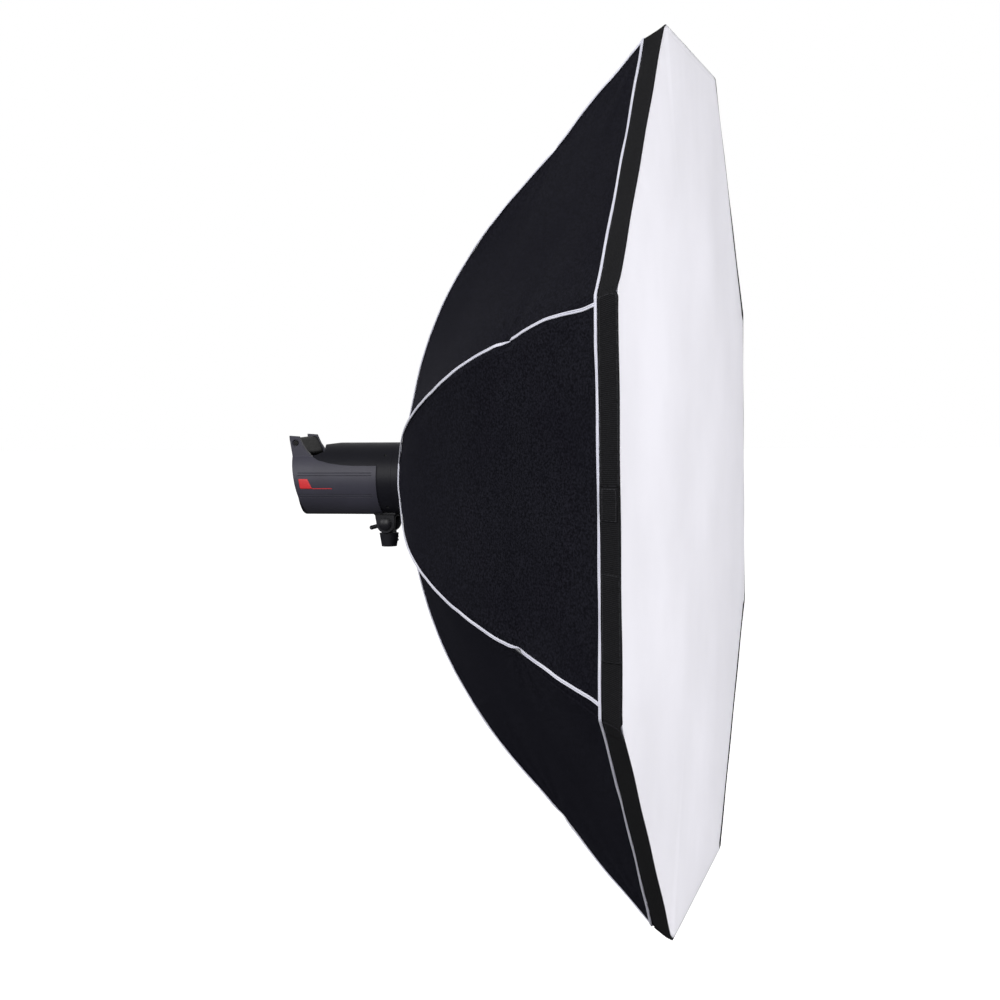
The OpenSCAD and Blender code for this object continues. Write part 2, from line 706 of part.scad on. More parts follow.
module tilt_lever() color([0.06, 0.06, 0.06]) upright() sideways(tilt_place) difference() {
  union() {
    disc(27.6, 15.4, 10, $fn = 48);
    translate([0, 0, lever_z]) rotate([0, 90, -15]) cylinder(h = lever_len, r = 4.7, $fn = 32);
    translate([0, 0, lever_z]) rotate([0, 90, -15]) translate([0, 0, lever_len])
      sphere(r = 4.9, $fn = 32);
  }
  disc(20, 13, bolt_r + 0.06);
}

module stand_lock_knob() color([0.06, 0.06, 0.06]) upright() sideways(knob_place) {
  disc(9, 20, bolt_r);
  difference() {
    disc(22, 12, 12, $fn = 64);
    for (i = [0:7]) rotate([0, 0, 45 * i]) translate([14, 0, 0]) disc(21, 21, 4, $fn = 24);
  }
}

ring_body();
glide_ring();
retaining_ring();
ring_screws();
hinge_pins();
pin_clips();
rod_holder(1);  // rod_holder_1
rod_holder(2);  // rod_holder_2
rod_holder(3);  // rod_holder_3
rod_holder(4);  // rod_holder_4
rod_holder(5);  // rod_holder_5
rod_holder(6);  // rod_holder_6
rod_holder(7);  // rod_holder_7
rod_holder(8);  // rod_holder_8
rod(1);  // rod_1
rod(2);  // rod_2
rod(3);  // rod_3
rod(4);  // rod_4
rod(5);  // rod_5
rod(6);  // rod_6
rod(7);  // rod_7
rod(8);  // rod_8
shell_panel(1);  // shell_panel_1
shell_panel(2);  // shell_panel_2
shell_panel(3);  // shell_panel_3
shell_panel(4);  // shell_panel_4
shell_panel(5);  // shell_panel_5
shell_panel(6);  // shell_panel_6
shell_panel(7);  // shell_panel_7
shell_panel(8);  // shell_panel_8
rear_collar();
lip_band();
rod_pockets();
rim_piping();
seam_piping();
inner_baffle();
baffle_straps();
front_diffuser();
bayonet_insert();
front_collar();
head_housing();
side_shell(-1);  // side_shell_left
side_shell(1);  // side_shell_right
handle_tray();
handle_bar();
rear_panel();
lamp_plate();
flash_tube();
modelling_lamp();
glass_dome();
housing_screws();
control_dial();
test_button();
power_switch();
bayonet_lock();
tilt_yoke();
stand_socket();
tilt_bolt();
tilt_lever();
stand_lock_knob();
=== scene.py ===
import json
from math import atan2, cos, degrees, exp, hypot, pi, radians as rad, sin, sqrt, tan

import bpy
import numpy as np
from mathutils import Matrix, Vector

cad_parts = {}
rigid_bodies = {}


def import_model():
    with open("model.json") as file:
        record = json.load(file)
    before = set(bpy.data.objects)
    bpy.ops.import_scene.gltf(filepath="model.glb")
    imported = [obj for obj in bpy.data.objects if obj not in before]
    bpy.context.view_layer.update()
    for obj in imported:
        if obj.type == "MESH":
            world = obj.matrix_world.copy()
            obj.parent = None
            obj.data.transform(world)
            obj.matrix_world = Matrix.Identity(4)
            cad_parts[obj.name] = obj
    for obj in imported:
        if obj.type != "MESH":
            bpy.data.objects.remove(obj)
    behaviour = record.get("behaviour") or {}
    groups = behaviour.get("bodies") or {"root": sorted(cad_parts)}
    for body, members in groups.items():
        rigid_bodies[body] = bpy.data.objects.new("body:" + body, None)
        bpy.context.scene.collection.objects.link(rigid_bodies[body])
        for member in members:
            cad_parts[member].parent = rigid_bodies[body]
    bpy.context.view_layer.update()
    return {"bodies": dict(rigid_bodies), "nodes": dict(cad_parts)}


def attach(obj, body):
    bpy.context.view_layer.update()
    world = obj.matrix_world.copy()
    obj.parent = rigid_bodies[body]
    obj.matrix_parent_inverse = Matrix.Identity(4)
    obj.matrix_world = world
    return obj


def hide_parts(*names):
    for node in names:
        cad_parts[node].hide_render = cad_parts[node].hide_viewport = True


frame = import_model()
NODES = frame["nodes"]
BODY = frame["bodies"]

rng = np.random.default_rng(17)
RODS = range(1, 9)

# --------------------------------------------------------------------------
# driving sizes, in metres and degrees: _R is a radius at a rod, _D a depth
# --------------------------------------------------------------------------
ORIGIN = np.array([0.0, -0.053, 0.1475])  # local origin in the row frame
SIDE_ANGLE, HALF_ANGLE = rad(45), rad(22.5)
HALF_SIDE = sin(HALF_ANGLE)  # half the length of a side, for a corner radius of 1
LIP_R = 0.875 / cos(HALF_ANGLE)  # 0.875 is the distance from the axis to the middle of a side
LIP_D = 0.616
BAND_W, BAND_LEAN = 0.051, 35.5
RIM_R = LIP_R - BAND_W * sin(rad(BAND_LEAN))
RIM_D = LIP_D - BAND_W * cos(rad(BAND_LEAN))
LIP_SIDE = 2 * LIP_R * HALF_SIDE
HUB_R, HUB_D = 0.101, 0.0025
HUB_MID_R = 0.0965  # rear edge of a panel, midway between its seams
HUB_LEAN, RIM_LEAN, BEND_TANGENT = 72.0, 47.0, 0.2
BAFFLE_R, BAFFLE_D = 0.652, 0.384
SHEET_D = BAFFLE_D + 0.0004
CLOTH = 0.0012
SHELL_R = 0.0804  # round side of the flash head
PLEATS = 3
ROWS, COLS = ((96, 44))  # grid of one panel: along, across


def along(lean):
    """Direction (radius, depth) that leans this many degrees away from the axis."""
    return np.array([sin(rad(lean)), cos(rad(lean))])


def inward(lean):
    """Normal of that direction, on the inside of the box."""
    return np.array([-cos(rad(lean)), sin(rad(lean))])


class BentLine:
    """Straight, arc, straight in the (radius, depth) half-plane of a rod."""

    def __init__(self, start, lean_start, end, lean_end, tangent):
        start, end = np.array(start, float), np.array(end, float)
        a, b, gap = rad(lean_start), rad(lean_end), end - start
        reach = (gap[0] * cos(b) - gap[1] * sin(b)) / (sin(a) * cos(b) - cos(a) * sin(b))
        corner = start + along(lean_start) * reach
        self.start, self.lean_start, self.lean_end = start, lean_start, lean_end
        self.radius = tangent / tan(rad((lean_start - lean_end) / 2))
        arc_start = corner - along(lean_start) * tangent
        self.arc_end = corner + along(lean_end) * tangent
        self.centre = arc_start + inward(lean_start) * self.radius
        self.first = np.linalg.norm(arc_start - start)
        self.second = self.first + self.radius * rad(lean_start - lean_end)
        self.total = self.second + np.linalg.norm(end - self.arc_end)

    def lean(self, s):
        if s <= self.first:
            return self.lean_start
        if s >= self.second:
            return self.lean_end
        return self.lean_start - degrees((s - self.first) / self.radius)

    def at(self, s, inset=0.0):
        lean = self.lean(s)
        if s <= self.first:
            p = self.start + along(lean) * s
        elif s >= self.second:
            p = self.arc_end + along(lean) * (s - self.second)
        else:
            p = self.centre - inward(lean) * self.radius
        return p + inward(lean) * inset


SEAM = BentLine((HUB_R, HUB_D), HUB_LEAN, (RIM_R, RIM_D), RIM_LEAN, BEND_TANGENT)
SEAM_LEN = SEAM.total
# where the baffle's straps pull on the seams
DIMPLE = min(np.linspace(0, SEAM_LEN, 2000), key=lambda s: abs(SEAM.at(s)[1] - BAFFLE_D))


def spoke(k):
    return rad(22.5 + 45 * (k - 1))


def following(k):
    """Number of the next rod; takes arrays too."""
    return k % 8 + 1


def row_direction(p):
    """Local x, y, depth to the row frame, for directions."""
    p = np.asarray(p, float)
    return np.stack([p[..., 0], -p[..., 2], p[..., 1]], -1)


def row(p):
    """Local x, y, depth to the row frame, for points."""
    return row_direction(p) + ORIGIN


def polar(angle, radius, depth):
    return np.array([radius * cos(angle), radius * sin(angle), depth])


def bell(x, centre, width):
    return exp(-(((x - centre) / width) ** 2))


def bells(x, table):
    """Sum of bells; table rows are height, centre, width."""
    return sum(height * bell(x, centre, width) for height, centre, width in table)


def smooth(x, a, b):
    t = np.clip((x - a) / (b - a), 0, 1)
    return t * t * (3 - 2 * t)


# how far a seam stands out of its line: height, centre along the seam, width
STRAP_TUCKS = ((-0.0085, DIMPLE, 0.013), (-0.0045, DIMPLE, 0.06))
SEAM_SWELLS = ((0.004, DIMPLE - 0.17, 0.09), (0.003, DIMPLE + 0.13, 0.06))
SEAM_4_SWELL = ((0.0185, 0.645, 0.20),)
# sideways drift of the piping: at the rim for each seam, then the bells of seam 4,
# then the steps of seam 5 as height, start, end
RIM_DRIFT = {1: 0.006, 2: -0.004, 3: 0.005, 4: 0.016, 6: 0.005, 7: 0.004, 8: -0.006}
SEAM_4_DRIFT = ((-0.0125, DIMPLE - 0.03, 0.17), (-0.0115, 0.872, 0.085))
SEAM_5_STEPS = ((-0.0165, 0.655, 0.87), (-0.0055, 0.90, 1.01))


def seam_out(k, s):
    """How far seam k stands outside its plain line: the straps pull it in."""
    tightness = 1.0 if k in (4, 5) else 0.15
    out = tightness * bells(s, STRAP_TUCKS) + bells(s, SEAM_SWELLS)
    return out + bells(s, SEAM_4_SWELL) if k == 4 else out


def seam_side(k, s):
    """Sideways drift of piping k over the cloth."""
    if k == 5:
        return sum(height * float(smooth(s, a, b)) for height, a, b in SEAM_5_STEPS)
    drift = RIM_DRIFT[k] * float(smooth(s / SEAM_LEN, 0.62, 1.0))
    if k == 4:
        drift += bells(s, SEAM_4_DRIFT)
    waver = 0.002 * sin(7 * s + k)
    return drift + waver * float(smooth(s, 0.05, 0.3))


def seam_point(k, s):
    return polar(spoke(k), *SEAM.at(s, -seam_out(k, s)))


def out_normal(angle, s):
    """Outward normal of the shell at an angle round the axis."""
    return polar(angle, *-inward(SEAM.lean(s)))


# --------------------------------------------------------------------------
# node graphs
# --------------------------------------------------------------------------
class Graph:
    """Adds nodes to a tree; inputs are numbers, tuples or sockets."""

    def __init__(self, tree):
        self.nodes, self.links = tree.nodes, tree.links

    def put(self, socket, value):
        if isinstance(value, (int, float, tuple, list)):
            socket.default_value = value
        else:
            self.links.new(value, socket)

    def add_node(self, kind, *inputs):
        node = self.nodes.new(kind)
        for i, value in enumerate(inputs):
            self.put(node.inputs[i], value)
        return node

    def num(self, operation, *inputs):
        node = self.add_node("ShaderNodeMath", *inputs)
        node.operation = operation
        return node.outputs[0]

    def sep(self, vector):
        return self.add_node("ShaderNodeSeparateXYZ", vector).outputs

    def ramp(self, value, span, to=(0.0, 1.0)):
        """Maps span to the range to, clamped."""
        return self.add_node("ShaderNodeMapRange", value, *span, *to).outputs[0]


class SkinGraph(Graph):
    """Geometry nodes for cloth that follows the rods."""

    def attr(self, name, kind="FLOAT"):
        node = self.nodes.new("GeometryNodeInputNamedAttribute")
        node.data_type = kind
        node.inputs["Name"].default_value = name
        return next(o for o in node.outputs if o.enabled and o.name == "Attribute")

    def vec(self, operation, *inputs, scale=None):
        node = self.nodes.new("ShaderNodeVectorMath")
        node.operation = operation
        for i, value in enumerate(inputs):
            self.put(node.inputs[i], value)
        if scale is not None:
            self.put(node.inputs["Scale"], scale)
        return node.outputs["Value" if operation in ("LENGTH", "DISTANCE") else "Vector"]

    def mix(self, factor, a, b):
        node = self.nodes.new("ShaderNodeMix")
        node.data_type = "VECTOR"
        node.clamp_factor = False
        for i, value in ((0, factor), (4, a), (5, b)):
            self.put(node.inputs[i], value)
        return node.outputs[1]

    def transform(self, body):
        node = self.nodes.new("GeometryNodeObjectInfo")
        node.transform_space = "ORIGINAL"
        node.inputs["Object"].default_value = BODY[body]
        return node.outputs["Transform"]

    def pick(self, matrices, index):
        """The matrix of rod number index; slot 0 repeats rod 1."""
        node = self.nodes.new("GeometryNodeIndexSwitch")
        node.data_type = "MATRIX"
        while len(node.index_switch_items) < 9:
            node.index_switch_items.new()
        slots = [s for s in node.inputs if s.name != "Index" and s.enabled and s.type == "MATRIX"]
        for i in range(9):
            self.links.new(matrices[max(0, i - 1)], slots[i])
        self.links.new(index, node.inputs["Index"])
        return next(o for o in node.outputs if o.enabled)

    def missing(self, rest, now, tolerance):
        """Third side of a right triangle: sqrt(rest^2 - now^2), or 0."""
        squares = [self.num("MULTIPLY", x, x) for x in (rest, now)]
        left = self.num("SUBTRACT", self.num("SUBTRACT", *squares), tolerance)
        return self.num("SQRT", self.num("MAXIMUM", left, 0.0))

    def centred(self, moved, rest, share, slack):
        """Draws a disc's edge point towards the axis and lets the loose sheet hang back."""
        def radius(p):
            arm = self.vec("SUBTRACT", p, tuple(ORIGIN))
            return self.vec("LENGTH", self.vec("MULTIPLY", arm, (1.0, 0.0, 1.0)))

        now, then = radius(moved), radius(rest)
        gap = self.missing(then, now, tolerance=1e-5)
        middle = self.nodes.new("ShaderNodeCombineXYZ")
        back = self.num("ADD", self.sep(moved)[1], self.num("MULTIPLY", gap, slack))
        self.put(middle.inputs[1], back)
        self.put(middle.inputs[2], float(ORIGIN[2]))
        return self.mix(share, middle.outputs[0], moved)


def build_skin(name, slack=None):
    """Each point belongs to the rods on either side of it; a slack value makes it a disc's skin."""
    tree = bpy.data.node_groups.new(name, "GeometryNodeTree")
    for way in ("INPUT", "OUTPUT"):
        tree.interface.new_socket("Geometry", in_out=way, socket_type="NodeSocketGeometry")
    g = SkinGraph(tree)
    group_in, group_out = g.nodes.new("NodeGroupInput"), g.nodes.new("NodeGroupOutput")
    ring = g.add_node("FunctionNodeInvertMatrix", g.transform("speedring")).outputs[0]
    matrices = [
        g.add_node("FunctionNodeMatrixMultiply", ring, g.transform("rod_%d" % k)).outputs[0]
        for k in RODS]
    rest_a, rest_b = g.attr("pa", "FLOAT_VECTOR"), g.attr("pb", "FLOAT_VECTOR")
    across, share, follow = g.attr("w"), g.attr("f"), g.attr("q")
    normal, offset = g.attr("nrm", "FLOAT_VECTOR"), g.attr("off", "FLOAT_VECTOR")
    wave = g.attr("wave")
    rod_a = g.pick(matrices, g.attr("ka", "INT"))
    rod_b = g.pick(matrices, g.attr("kb", "INT"))
    now_a = g.add_node("FunctionNodeTransformPoint", rest_a, rod_a).outputs[0]
    now_b = g.add_node("FunctionNodeTransformPoint", rest_b, rod_b).outputs[0]
    if slack is not None:
        now_a = g.centred(now_a, rest_a, share, slack)
        now_b = g.centred(now_b, rest_b, share, slack)
        direction = normal
    else:
        turned = [g.add_node("FunctionNodeTransformDirection", normal, rod).outputs[0]
                  for rod in (rod_a, rod_b)]
        direction = g.vec("NORMALIZE", g.mix(across, *turned))
    # width the cloth no longer spans goes into pleats along the normal
    rest_width = g.num("MULTIPLY", g.vec("DISTANCE", rest_a, rest_b), share)
    spare = g.missing(rest_width, g.vec("DISTANCE", now_a, now_b), tolerance=2e-5)
    swell = g.num("MULTIPLY", g.num("MULTIPLY", spare, wave), 0.92 / (2 * PLEATS))
    point = g.vec("ADD", g.mix(across, now_a, now_b), offset)
    point = g.vec("ADD", point, g.vec("SCALE", direction, scale=swell))
    point = g.mix(follow, g.nodes.new("GeometryNodeInputPosition").outputs[0], point)
    move = g.nodes.new("GeometryNodeSetPosition")
    g.links.new(group_in.outputs[0], move.inputs["Geometry"])
    g.links.new(point, move.inputs["Position"])
    g.links.new(move.outputs[0], group_out.inputs[0])
    return tree


SKIN_SHEET = build_skin("skin_sheet")
SKIN_FRONT = build_skin("skin_front", slack=0.45)
SKIN_BAFFLE = build_skin("skin_baffle", slack=0.45)
REARWARD = (0.0, 0.0, -1.0)


def follow_rods(obj, group, a, b, across, rods, normals, rods_b=None, share=None, follow=None,
                offset=None, wave=None):
    """Stores the skin's inputs, one per vertex, and adds the modifier.

    a and b are the rest points carried by the two rods, across blends from a to b, share is the
    place between a disc's middle (0) and edge (1), follow 0 leaves a point where it is.
    """
    n = len(obj.data.vertices)
    rods = np.asarray(rods)
    if wave is None:
        wave = (1 - np.cos(2 * np.pi * PLEATS * np.asarray(across))) / 2
    attributes = (
        ("pa", "FLOAT_VECTOR", row(a)),
        ("pb", "FLOAT_VECTOR", row(b)),
        ("w", "FLOAT", across),
        ("ka", "INT", rods),
        ("kb", "INT", following(rods) if rods_b is None else rods_b),
        ("nrm", "FLOAT_VECTOR", np.broadcast_to(row_direction(normals), (n, 3))),
        ("f", "FLOAT", np.ones(n) if share is None else share),
        ("q", "FLOAT", np.ones(n) if follow is None else follow),
        ("off", "FLOAT_VECTOR", np.zeros((n, 3)) if offset is None else row_direction(offset)),
        ("wave", "FLOAT", wave))
    for name, kind, values in attributes:
        attribute = obj.data.attributes.new(name, kind, "POINT")
        field = "vector" if kind == "FLOAT_VECTOR" else "value"
        dtype = np.int32 if kind == "INT" else np.float32
        attribute.data.foreach_set(field, np.asarray(values).astype(dtype).ravel())
    obj.modifiers.new("follow_rods", "NODES").node_group = group


def follow_one_rod(obj, points, rods):
    """Each point is carried rigidly by a single rod."""
    zeros = np.zeros(len(points))
    follow_rods(obj, SKIN_SHEET, points, points, zeros, rods, REARWARD, rods_b=rods)


def follow_side(obj, points, sides, across, corners_a, corners_b):
    """Points keep their offset from a straight line between two corners of the box."""
    a, b, w = np.array(corners_a), np.array(corners_b), np.asarray(across)
    offset = points - (a * (1 - w)[:, None] + b * w[:, None])
    normals = [out_normal(spoke(k) + u * SIDE_ANGLE, SEAM_LEN) for k, u in zip(sides, w)]
    follow_rods(obj, SKIN_SHEET, a + offset, b + offset, w, sides, normals)


# --------------------------------------------------------------------------
# mesh helpers
# --------------------------------------------------------------------------
def new_object(name, verts, faces, materials, uvs=None, flat=False):
    mesh = bpy.data.meshes.new(name)
    verts = [tuple(map(float, v)) for v in verts]
    mesh.from_pydata(verts, [], [tuple(int(i) for i in f) for f in faces])
    for material in materials:
        mesh.materials.append(material)
    if uvs is not None:
        layer = mesh.uv_layers.new(name="UVMap")
        corners = np.zeros(len(mesh.loops), np.int32)
        mesh.loops.foreach_get("vertex_index", corners)
        layer.data.foreach_set("uv", np.asarray(uvs, np.float32)[corners].ravel())
    mesh.polygons.foreach_set("use_smooth", [not flat] * len(mesh.polygons))
    mesh.update()
    obj = bpy.data.objects.new(name, mesh)
    bpy.context.scene.collection.objects.link(obj)
    return obj


def register(obj, replaces=None, body="speedring"):
    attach(obj, body)
    if replaces:
        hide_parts(replaces)


def grid_faces(n, m, wrap_n=False, wrap_m=False):
    """Faces of an n by m grid of vertices, row-major."""
    return [(i * m + j, i * m + (j + 1) % m, (i + 1) % n * m + (j + 1) % m, (i + 1) % n * m + j)
            for i in range(n if wrap_n else n - 1) for j in range(m if wrap_m else m - 1)]


def tube_faces(n, m, closed):
    """n rings of m points, either joined end to end or capped."""
    faces = grid_faces(n, m, closed, True)
    if not closed:
        faces.append(tuple(range(m - 1, -1, -1)))
        faces.append(tuple((n - 1) * m + j for j in range(m)))
    return faces


def shifted(faces, base):
    return [tuple(base + i for i in face) for face in faces]


def solidify(obj, thickness, offset=0.0, inner=0):
    modifier = obj.modifiers.new("thickness", "SOLIDIFY")
    modifier.thickness = thickness
    modifier.offset = offset
    modifier.material_offset = inner
    modifier.use_even_offset = False


# --------------------------------------------------------------------------
# materials
# --------------------------------------------------------------------------
def srgb(*c):
    """Linear RGBA from 0-255 display values."""
    return tuple(
        ((x / 255 + 0.055) / 1.055) ** 2.4 if x > 10 else x / 255 / 12.92 for x in c) + (1.0,)


class Mat(Graph):
    """A small builder for node materials."""

    def __init__(self, name):
        self.material = bpy.data.materials.new(name)
        self.material.use_nodes = True
        super().__init__(self.material.node_tree)
        self.principled = self.nodes["Principled BSDF"]
        self.source = self.nodes.new("ShaderNodeTexCoord")

    def set(self, **inputs):
        """Sets the principled shader's inputs and returns the material."""
        for name, value in inputs.items():
            self.put(self.principled.inputs[name.replace("_", " ")], value)
        return self.material

    def coords(self, kind="Object", scale=(1, 1, 1)):
        node = self.add_node("ShaderNodeMapping", self.source.outputs[kind])
        node.inputs["Scale"].default_value = scale
        return node.outputs[0]

    def texture(self, kind, co, **inputs):
        node = self.nodes.new(kind)
        self.links.new(co, node.inputs["Vector"])
        for name, value in inputs.items():
            node.inputs[name].default_value = value
        return node

    def noise(self, co, scale, detail=3.0, rough=0.55, dist=0.0):
        return self.texture("ShaderNodeTexNoise", co, Scale=scale, Detail=detail,
                            Roughness=rough, Distortion=dist).outputs["Fac"]

    def wave(self, co, scale, axis="X", dist=0.0):
        node = self.texture("ShaderNodeTexWave", co, Scale=scale, Distortion=dist)
        node.bands_direction = axis
        return node.outputs["Fac"]

    def num(self, operation, a, b=0.0, c=0.0):
        return super().num(operation, a, b, c)

    def mul(self, a, b):
        return self.num("MULTIPLY", a, b)

    def sub(self, a, b):
        return self.num("SUBTRACT", a, b)

    def total(self, *terms):
        """Weighted sum of (value, weight) pairs."""
        result = self.mul(*terms[0])
        for term in terms[1:]:
            result = self.num("ADD", result, self.mul(*term))
        return result

    def mix(self, factor, a, b):
        node = self.nodes.new("ShaderNodeMix")
        node.data_type = "RGBA"
        for i, value in ((0, factor), (6, a), (7, b)):
            self.put(node.inputs[i], value)
        return node.outputs[2]

    def dashes(self, along_uv, per_metre, gap):
        position = self.num("FRACT", self.mul(along_uv, per_metre))
        return self.num("GREATER_THAN", position, gap)

    def line(self, across_uv, at, fade=(0.0005, 0.0010)):
        """1 on a line at this distance, fading to 0 over the two half-widths."""
        return self.ramp(self.num("ABSOLUTE", self.sub(across_uv, at)), fade, to=(1, 0))

    def stitches(self, uv, at, per_metre, gap, fade=(0.0005, 0.0010)):
        return self.mul(self.line(uv[0], at, fade), self.dashes(uv[1], per_metre, gap))

    def bump(self, height, strength, distance, normal=None):
        node = self.nodes.new("ShaderNodeBump")
        self.put(node.inputs["Height"], height)
        node.inputs["Strength"].default_value = strength
        node.inputs["Distance"].default_value = distance
        if normal is not None:
            self.links.new(normal, node.inputs["Normal"])
        return node.outputs[0]

    def bevel(self, radius):
        node = self.nodes.new("ShaderNodeBevel")
        node.samples = 4
        node.inputs["Radius"].default_value = radius
        return node.outputs[0]


def shell_material():
    """Black cloth: felt speckle, fine weave and a row of stitches beside the seams.

    uv.x is the distance from the seam, uv.y runs along it.
    """
    m = Mat("shell_cloth")
    co = m.coords()
    uv = m.sep(m.coords("UV"))
    speck = m.noise(co, scale=235, rough=0.72)
    cloud = m.noise(co, scale=5.5, rough=0.5)
    base = m.mix(m.ramp(speck, (0.40, 0.63)), srgb(8, 8, 12), srgb(32, 32, 39))
    base = m.mix(m.ramp(cloud, (0.35, 0.7), to=(0, 0.35)), base, srgb(11, 10, 18))
    stitch = m.stitches(uv, at=0.0105, per_metre=250.0, gap=0.35)
    base = m.mix(m.mul(stitch, 0.75), base, srgb(8, 8, 9))
    weave = m.mul(m.wave(m.coords("UV"), scale=420), m.wave(m.coords("UV"), scale=420, axis="Y"))
    height = m.total((weave, 0.25), (speck, 1.0), (stitch, -0.8), (m.noise(co, scale=38), 1.4))
    return m.set(
        Base_Color=base, Roughness=m.ramp(speck, (0.3, 0.7), to=(0.72, 0.95)),
        Sheen_Weight=0.02, Sheen_Roughness=0.5, Sheen_Tint=srgb(150, 150, 185),
        Normal=m.bump(height, strength=0.35, distance=0.0007), Specular_IOR_Level=0.03)


def lining_material():
    """Crinkled silver lining on the inside."""
    m = Mat("silver_lining")
    co = m.coords()
    crinkle = m.texture("ShaderNodeTexVoronoi", co, Scale=60).outputs["Distance"]
    fine = m.noise(co, scale=300)
    tone = m.noise(co, scale=9, detail=2.0)
    height = m.total((crinkle, 0.7), (fine, 0.5))
    return m.set(
        Base_Color=m.mix(tone, srgb(196, 197, 200), srgb(222, 223, 226)), Metallic=0.75,
        Roughness=m.ramp(fine, (0.3, 0.7), to=(0.34, 0.5)),
        Normal=m.bump(height, strength=0.35, distance=0.0012))


def webbing_base(m, rib_coords):
    """Ribs, fuzz and colour that the two webbings share."""
    rib = m.wave(rib_coords, scale=95, axis="Y", dist=0.6)
    fuzz = m.noise(m.coords(), scale=700, detail=2.0, rough=0.7)
    base = m.mix(m.ramp(fuzz, (0.35, 0.7)), srgb(18, 18, 19), srgb(42, 42, 45))
    return rib, fuzz, m.mix(m.mul(rib, 0.8), base, srgb(8, 8, 9))


def webbing_finish(m, base, height):
    return m.set(
        Base_Color=base, Roughness=0.88, Sheen_Weight=0.012, Sheen_Roughness=0.6,
        Specular_IOR_Level=0.05, Normal=m.bump(height, strength=0.5, distance=0.0008))


def band_material():
    """Ribbed black webbing with a row of stitches along each edge; uv.x runs across it."""
    m = Mat("lip_webbing")
    uv_coords = m.coords("UV")
    uv = m.sep(uv_coords)
    rib, fuzz, base = webbing_base(m, uv_coords)
    rows = [m.stitches(uv, at=x, per_metre=260.0, gap=0.4, fade=(0.0004, 0.0009))
            for x in (0.0455, 0.0065)]
    base = m.mix(m.mul(m.num("MAXIMUM", *rows), 0.45), base, srgb(46, 46, 50))
    return webbing_finish(m, base, m.total((rib, 1.0), (fuzz, 0.6)))


def patch_material():
    """The same webbing, sewn down close to its own edge: uv.x is the distance from that edge."""
    m = Mat("lip_webbing_sewn")
    uv = m.sep(m.coords("UV"))
    rib, fuzz, base = webbing_base(m, m.coords("UV", (0, 1, 0)))
    groove = m.line(uv[0], at=0.0022, fade=(0.0004, 0.0009))
    dash = m.num("GREATER_THAN", m.noise(m.coords(), scale=330, detail=0.0), 0.44)
    base = m.mix(m.mul(m.mul(groove, dash), 0.6), base, srgb(58, 58, 62))
    edge = m.ramp(uv[0], (0.0, 0.0008), to=(1, 0))
    base = m.mix(m.mul(edge, 0.5), base, srgb(38, 38, 41))
    pile = m.sub(m.mul(fuzz, 0.6), m.mul(groove, 0.8))
    return webbing_finish(m, base, m.num("ADD", m.mul(rib, 1.0), pile))


def piping_material():
    """Pale woven binding with a line of stitches along its middle, where uv.x is 0."""
    m = Mat("pale_piping")
    uv_coords = m.coords("UV")
    uv = m.sep(uv_coords)
    thread = m.wave(uv_coords, scale=330, axis="Y", dist=0.5)
    middle = m.ramp(m.num("ABSOLUTE", uv[0]), (0.0004, 0.0010), to=(1, 0))
    dash = m.mul(middle, m.dashes(uv[1], per_metre=240.0, gap=0.3))
    soil = m.ramp(m.noise(m.coords(), scale=14), (0.35, 0.7))
    base = m.mix(soil, srgb(226, 226, 237), srgb(206, 206, 221))
    base = m.mix(m.mul(thread, 0.16), base, srgb(184, 184, 200))
    base = m.mix(m.mul(dash, 0.6), base, srgb(120, 120, 136))
    height = m.sub(m.mul(thread, 0.5), m.mul(middle, 1.2))
    return m.set(Base_Color=base, Roughness=0.62, Sheen_Weight=0.25,
                 Normal=m.bump(height, strength=0.4, distance=0.0006))


def white_cloth(name, tone, through, hem):
    """White nylon that lets a share of the light through, hem-stitched at uv.x = hem."""
    m = Mat(name)
    co = m.coords()
    threads = [m.noise(m.coords(scale=stretch), scale=520.0, detail=1.0)
               for stretch in ((1, 1, 0.12), (0.12, 1, 1))]
    cloud = m.ramp(m.noise(co, scale=2.6), (0.3, 0.7))
    fine = m.noise(co, scale=260, detail=2.0)
    base = m.mix(cloud, srgb(*tone), srgb(*(min(255, t + 9) for t in tone)))
    stitch = m.stitches(m.sep(m.coords("UV")), at=hem, per_metre=230.0, gap=0.35,
                        fade=(0.0005, 0.0011))
    base = m.mix(m.mul(stitch, 0.22), base, srgb(176, 176, 182))
    height = m.total((m.num("ADD", *threads), 0.3), (fine, 0.3))
    bump = m.bump(height, strength=0.25, distance=0.0004)
    m.set(Base_Color=base, Roughness=0.85, Sheen_Weight=0.40, Sheen_Roughness=0.45,
          Specular_IOR_Level=0.08, Normal=bump)
    glow = m.nodes.new("ShaderNodeBsdfTranslucent")
    m.put(glow.inputs["Color"], base)
    m.put(glow.inputs["Normal"], bump)
    both = m.add_node("ShaderNodeMixShader", through, m.principled.outputs[0], glow.outputs[0])
    m.links.new(both.outputs[0], m.nodes["Material Output"].inputs["Surface"])
    return m.material


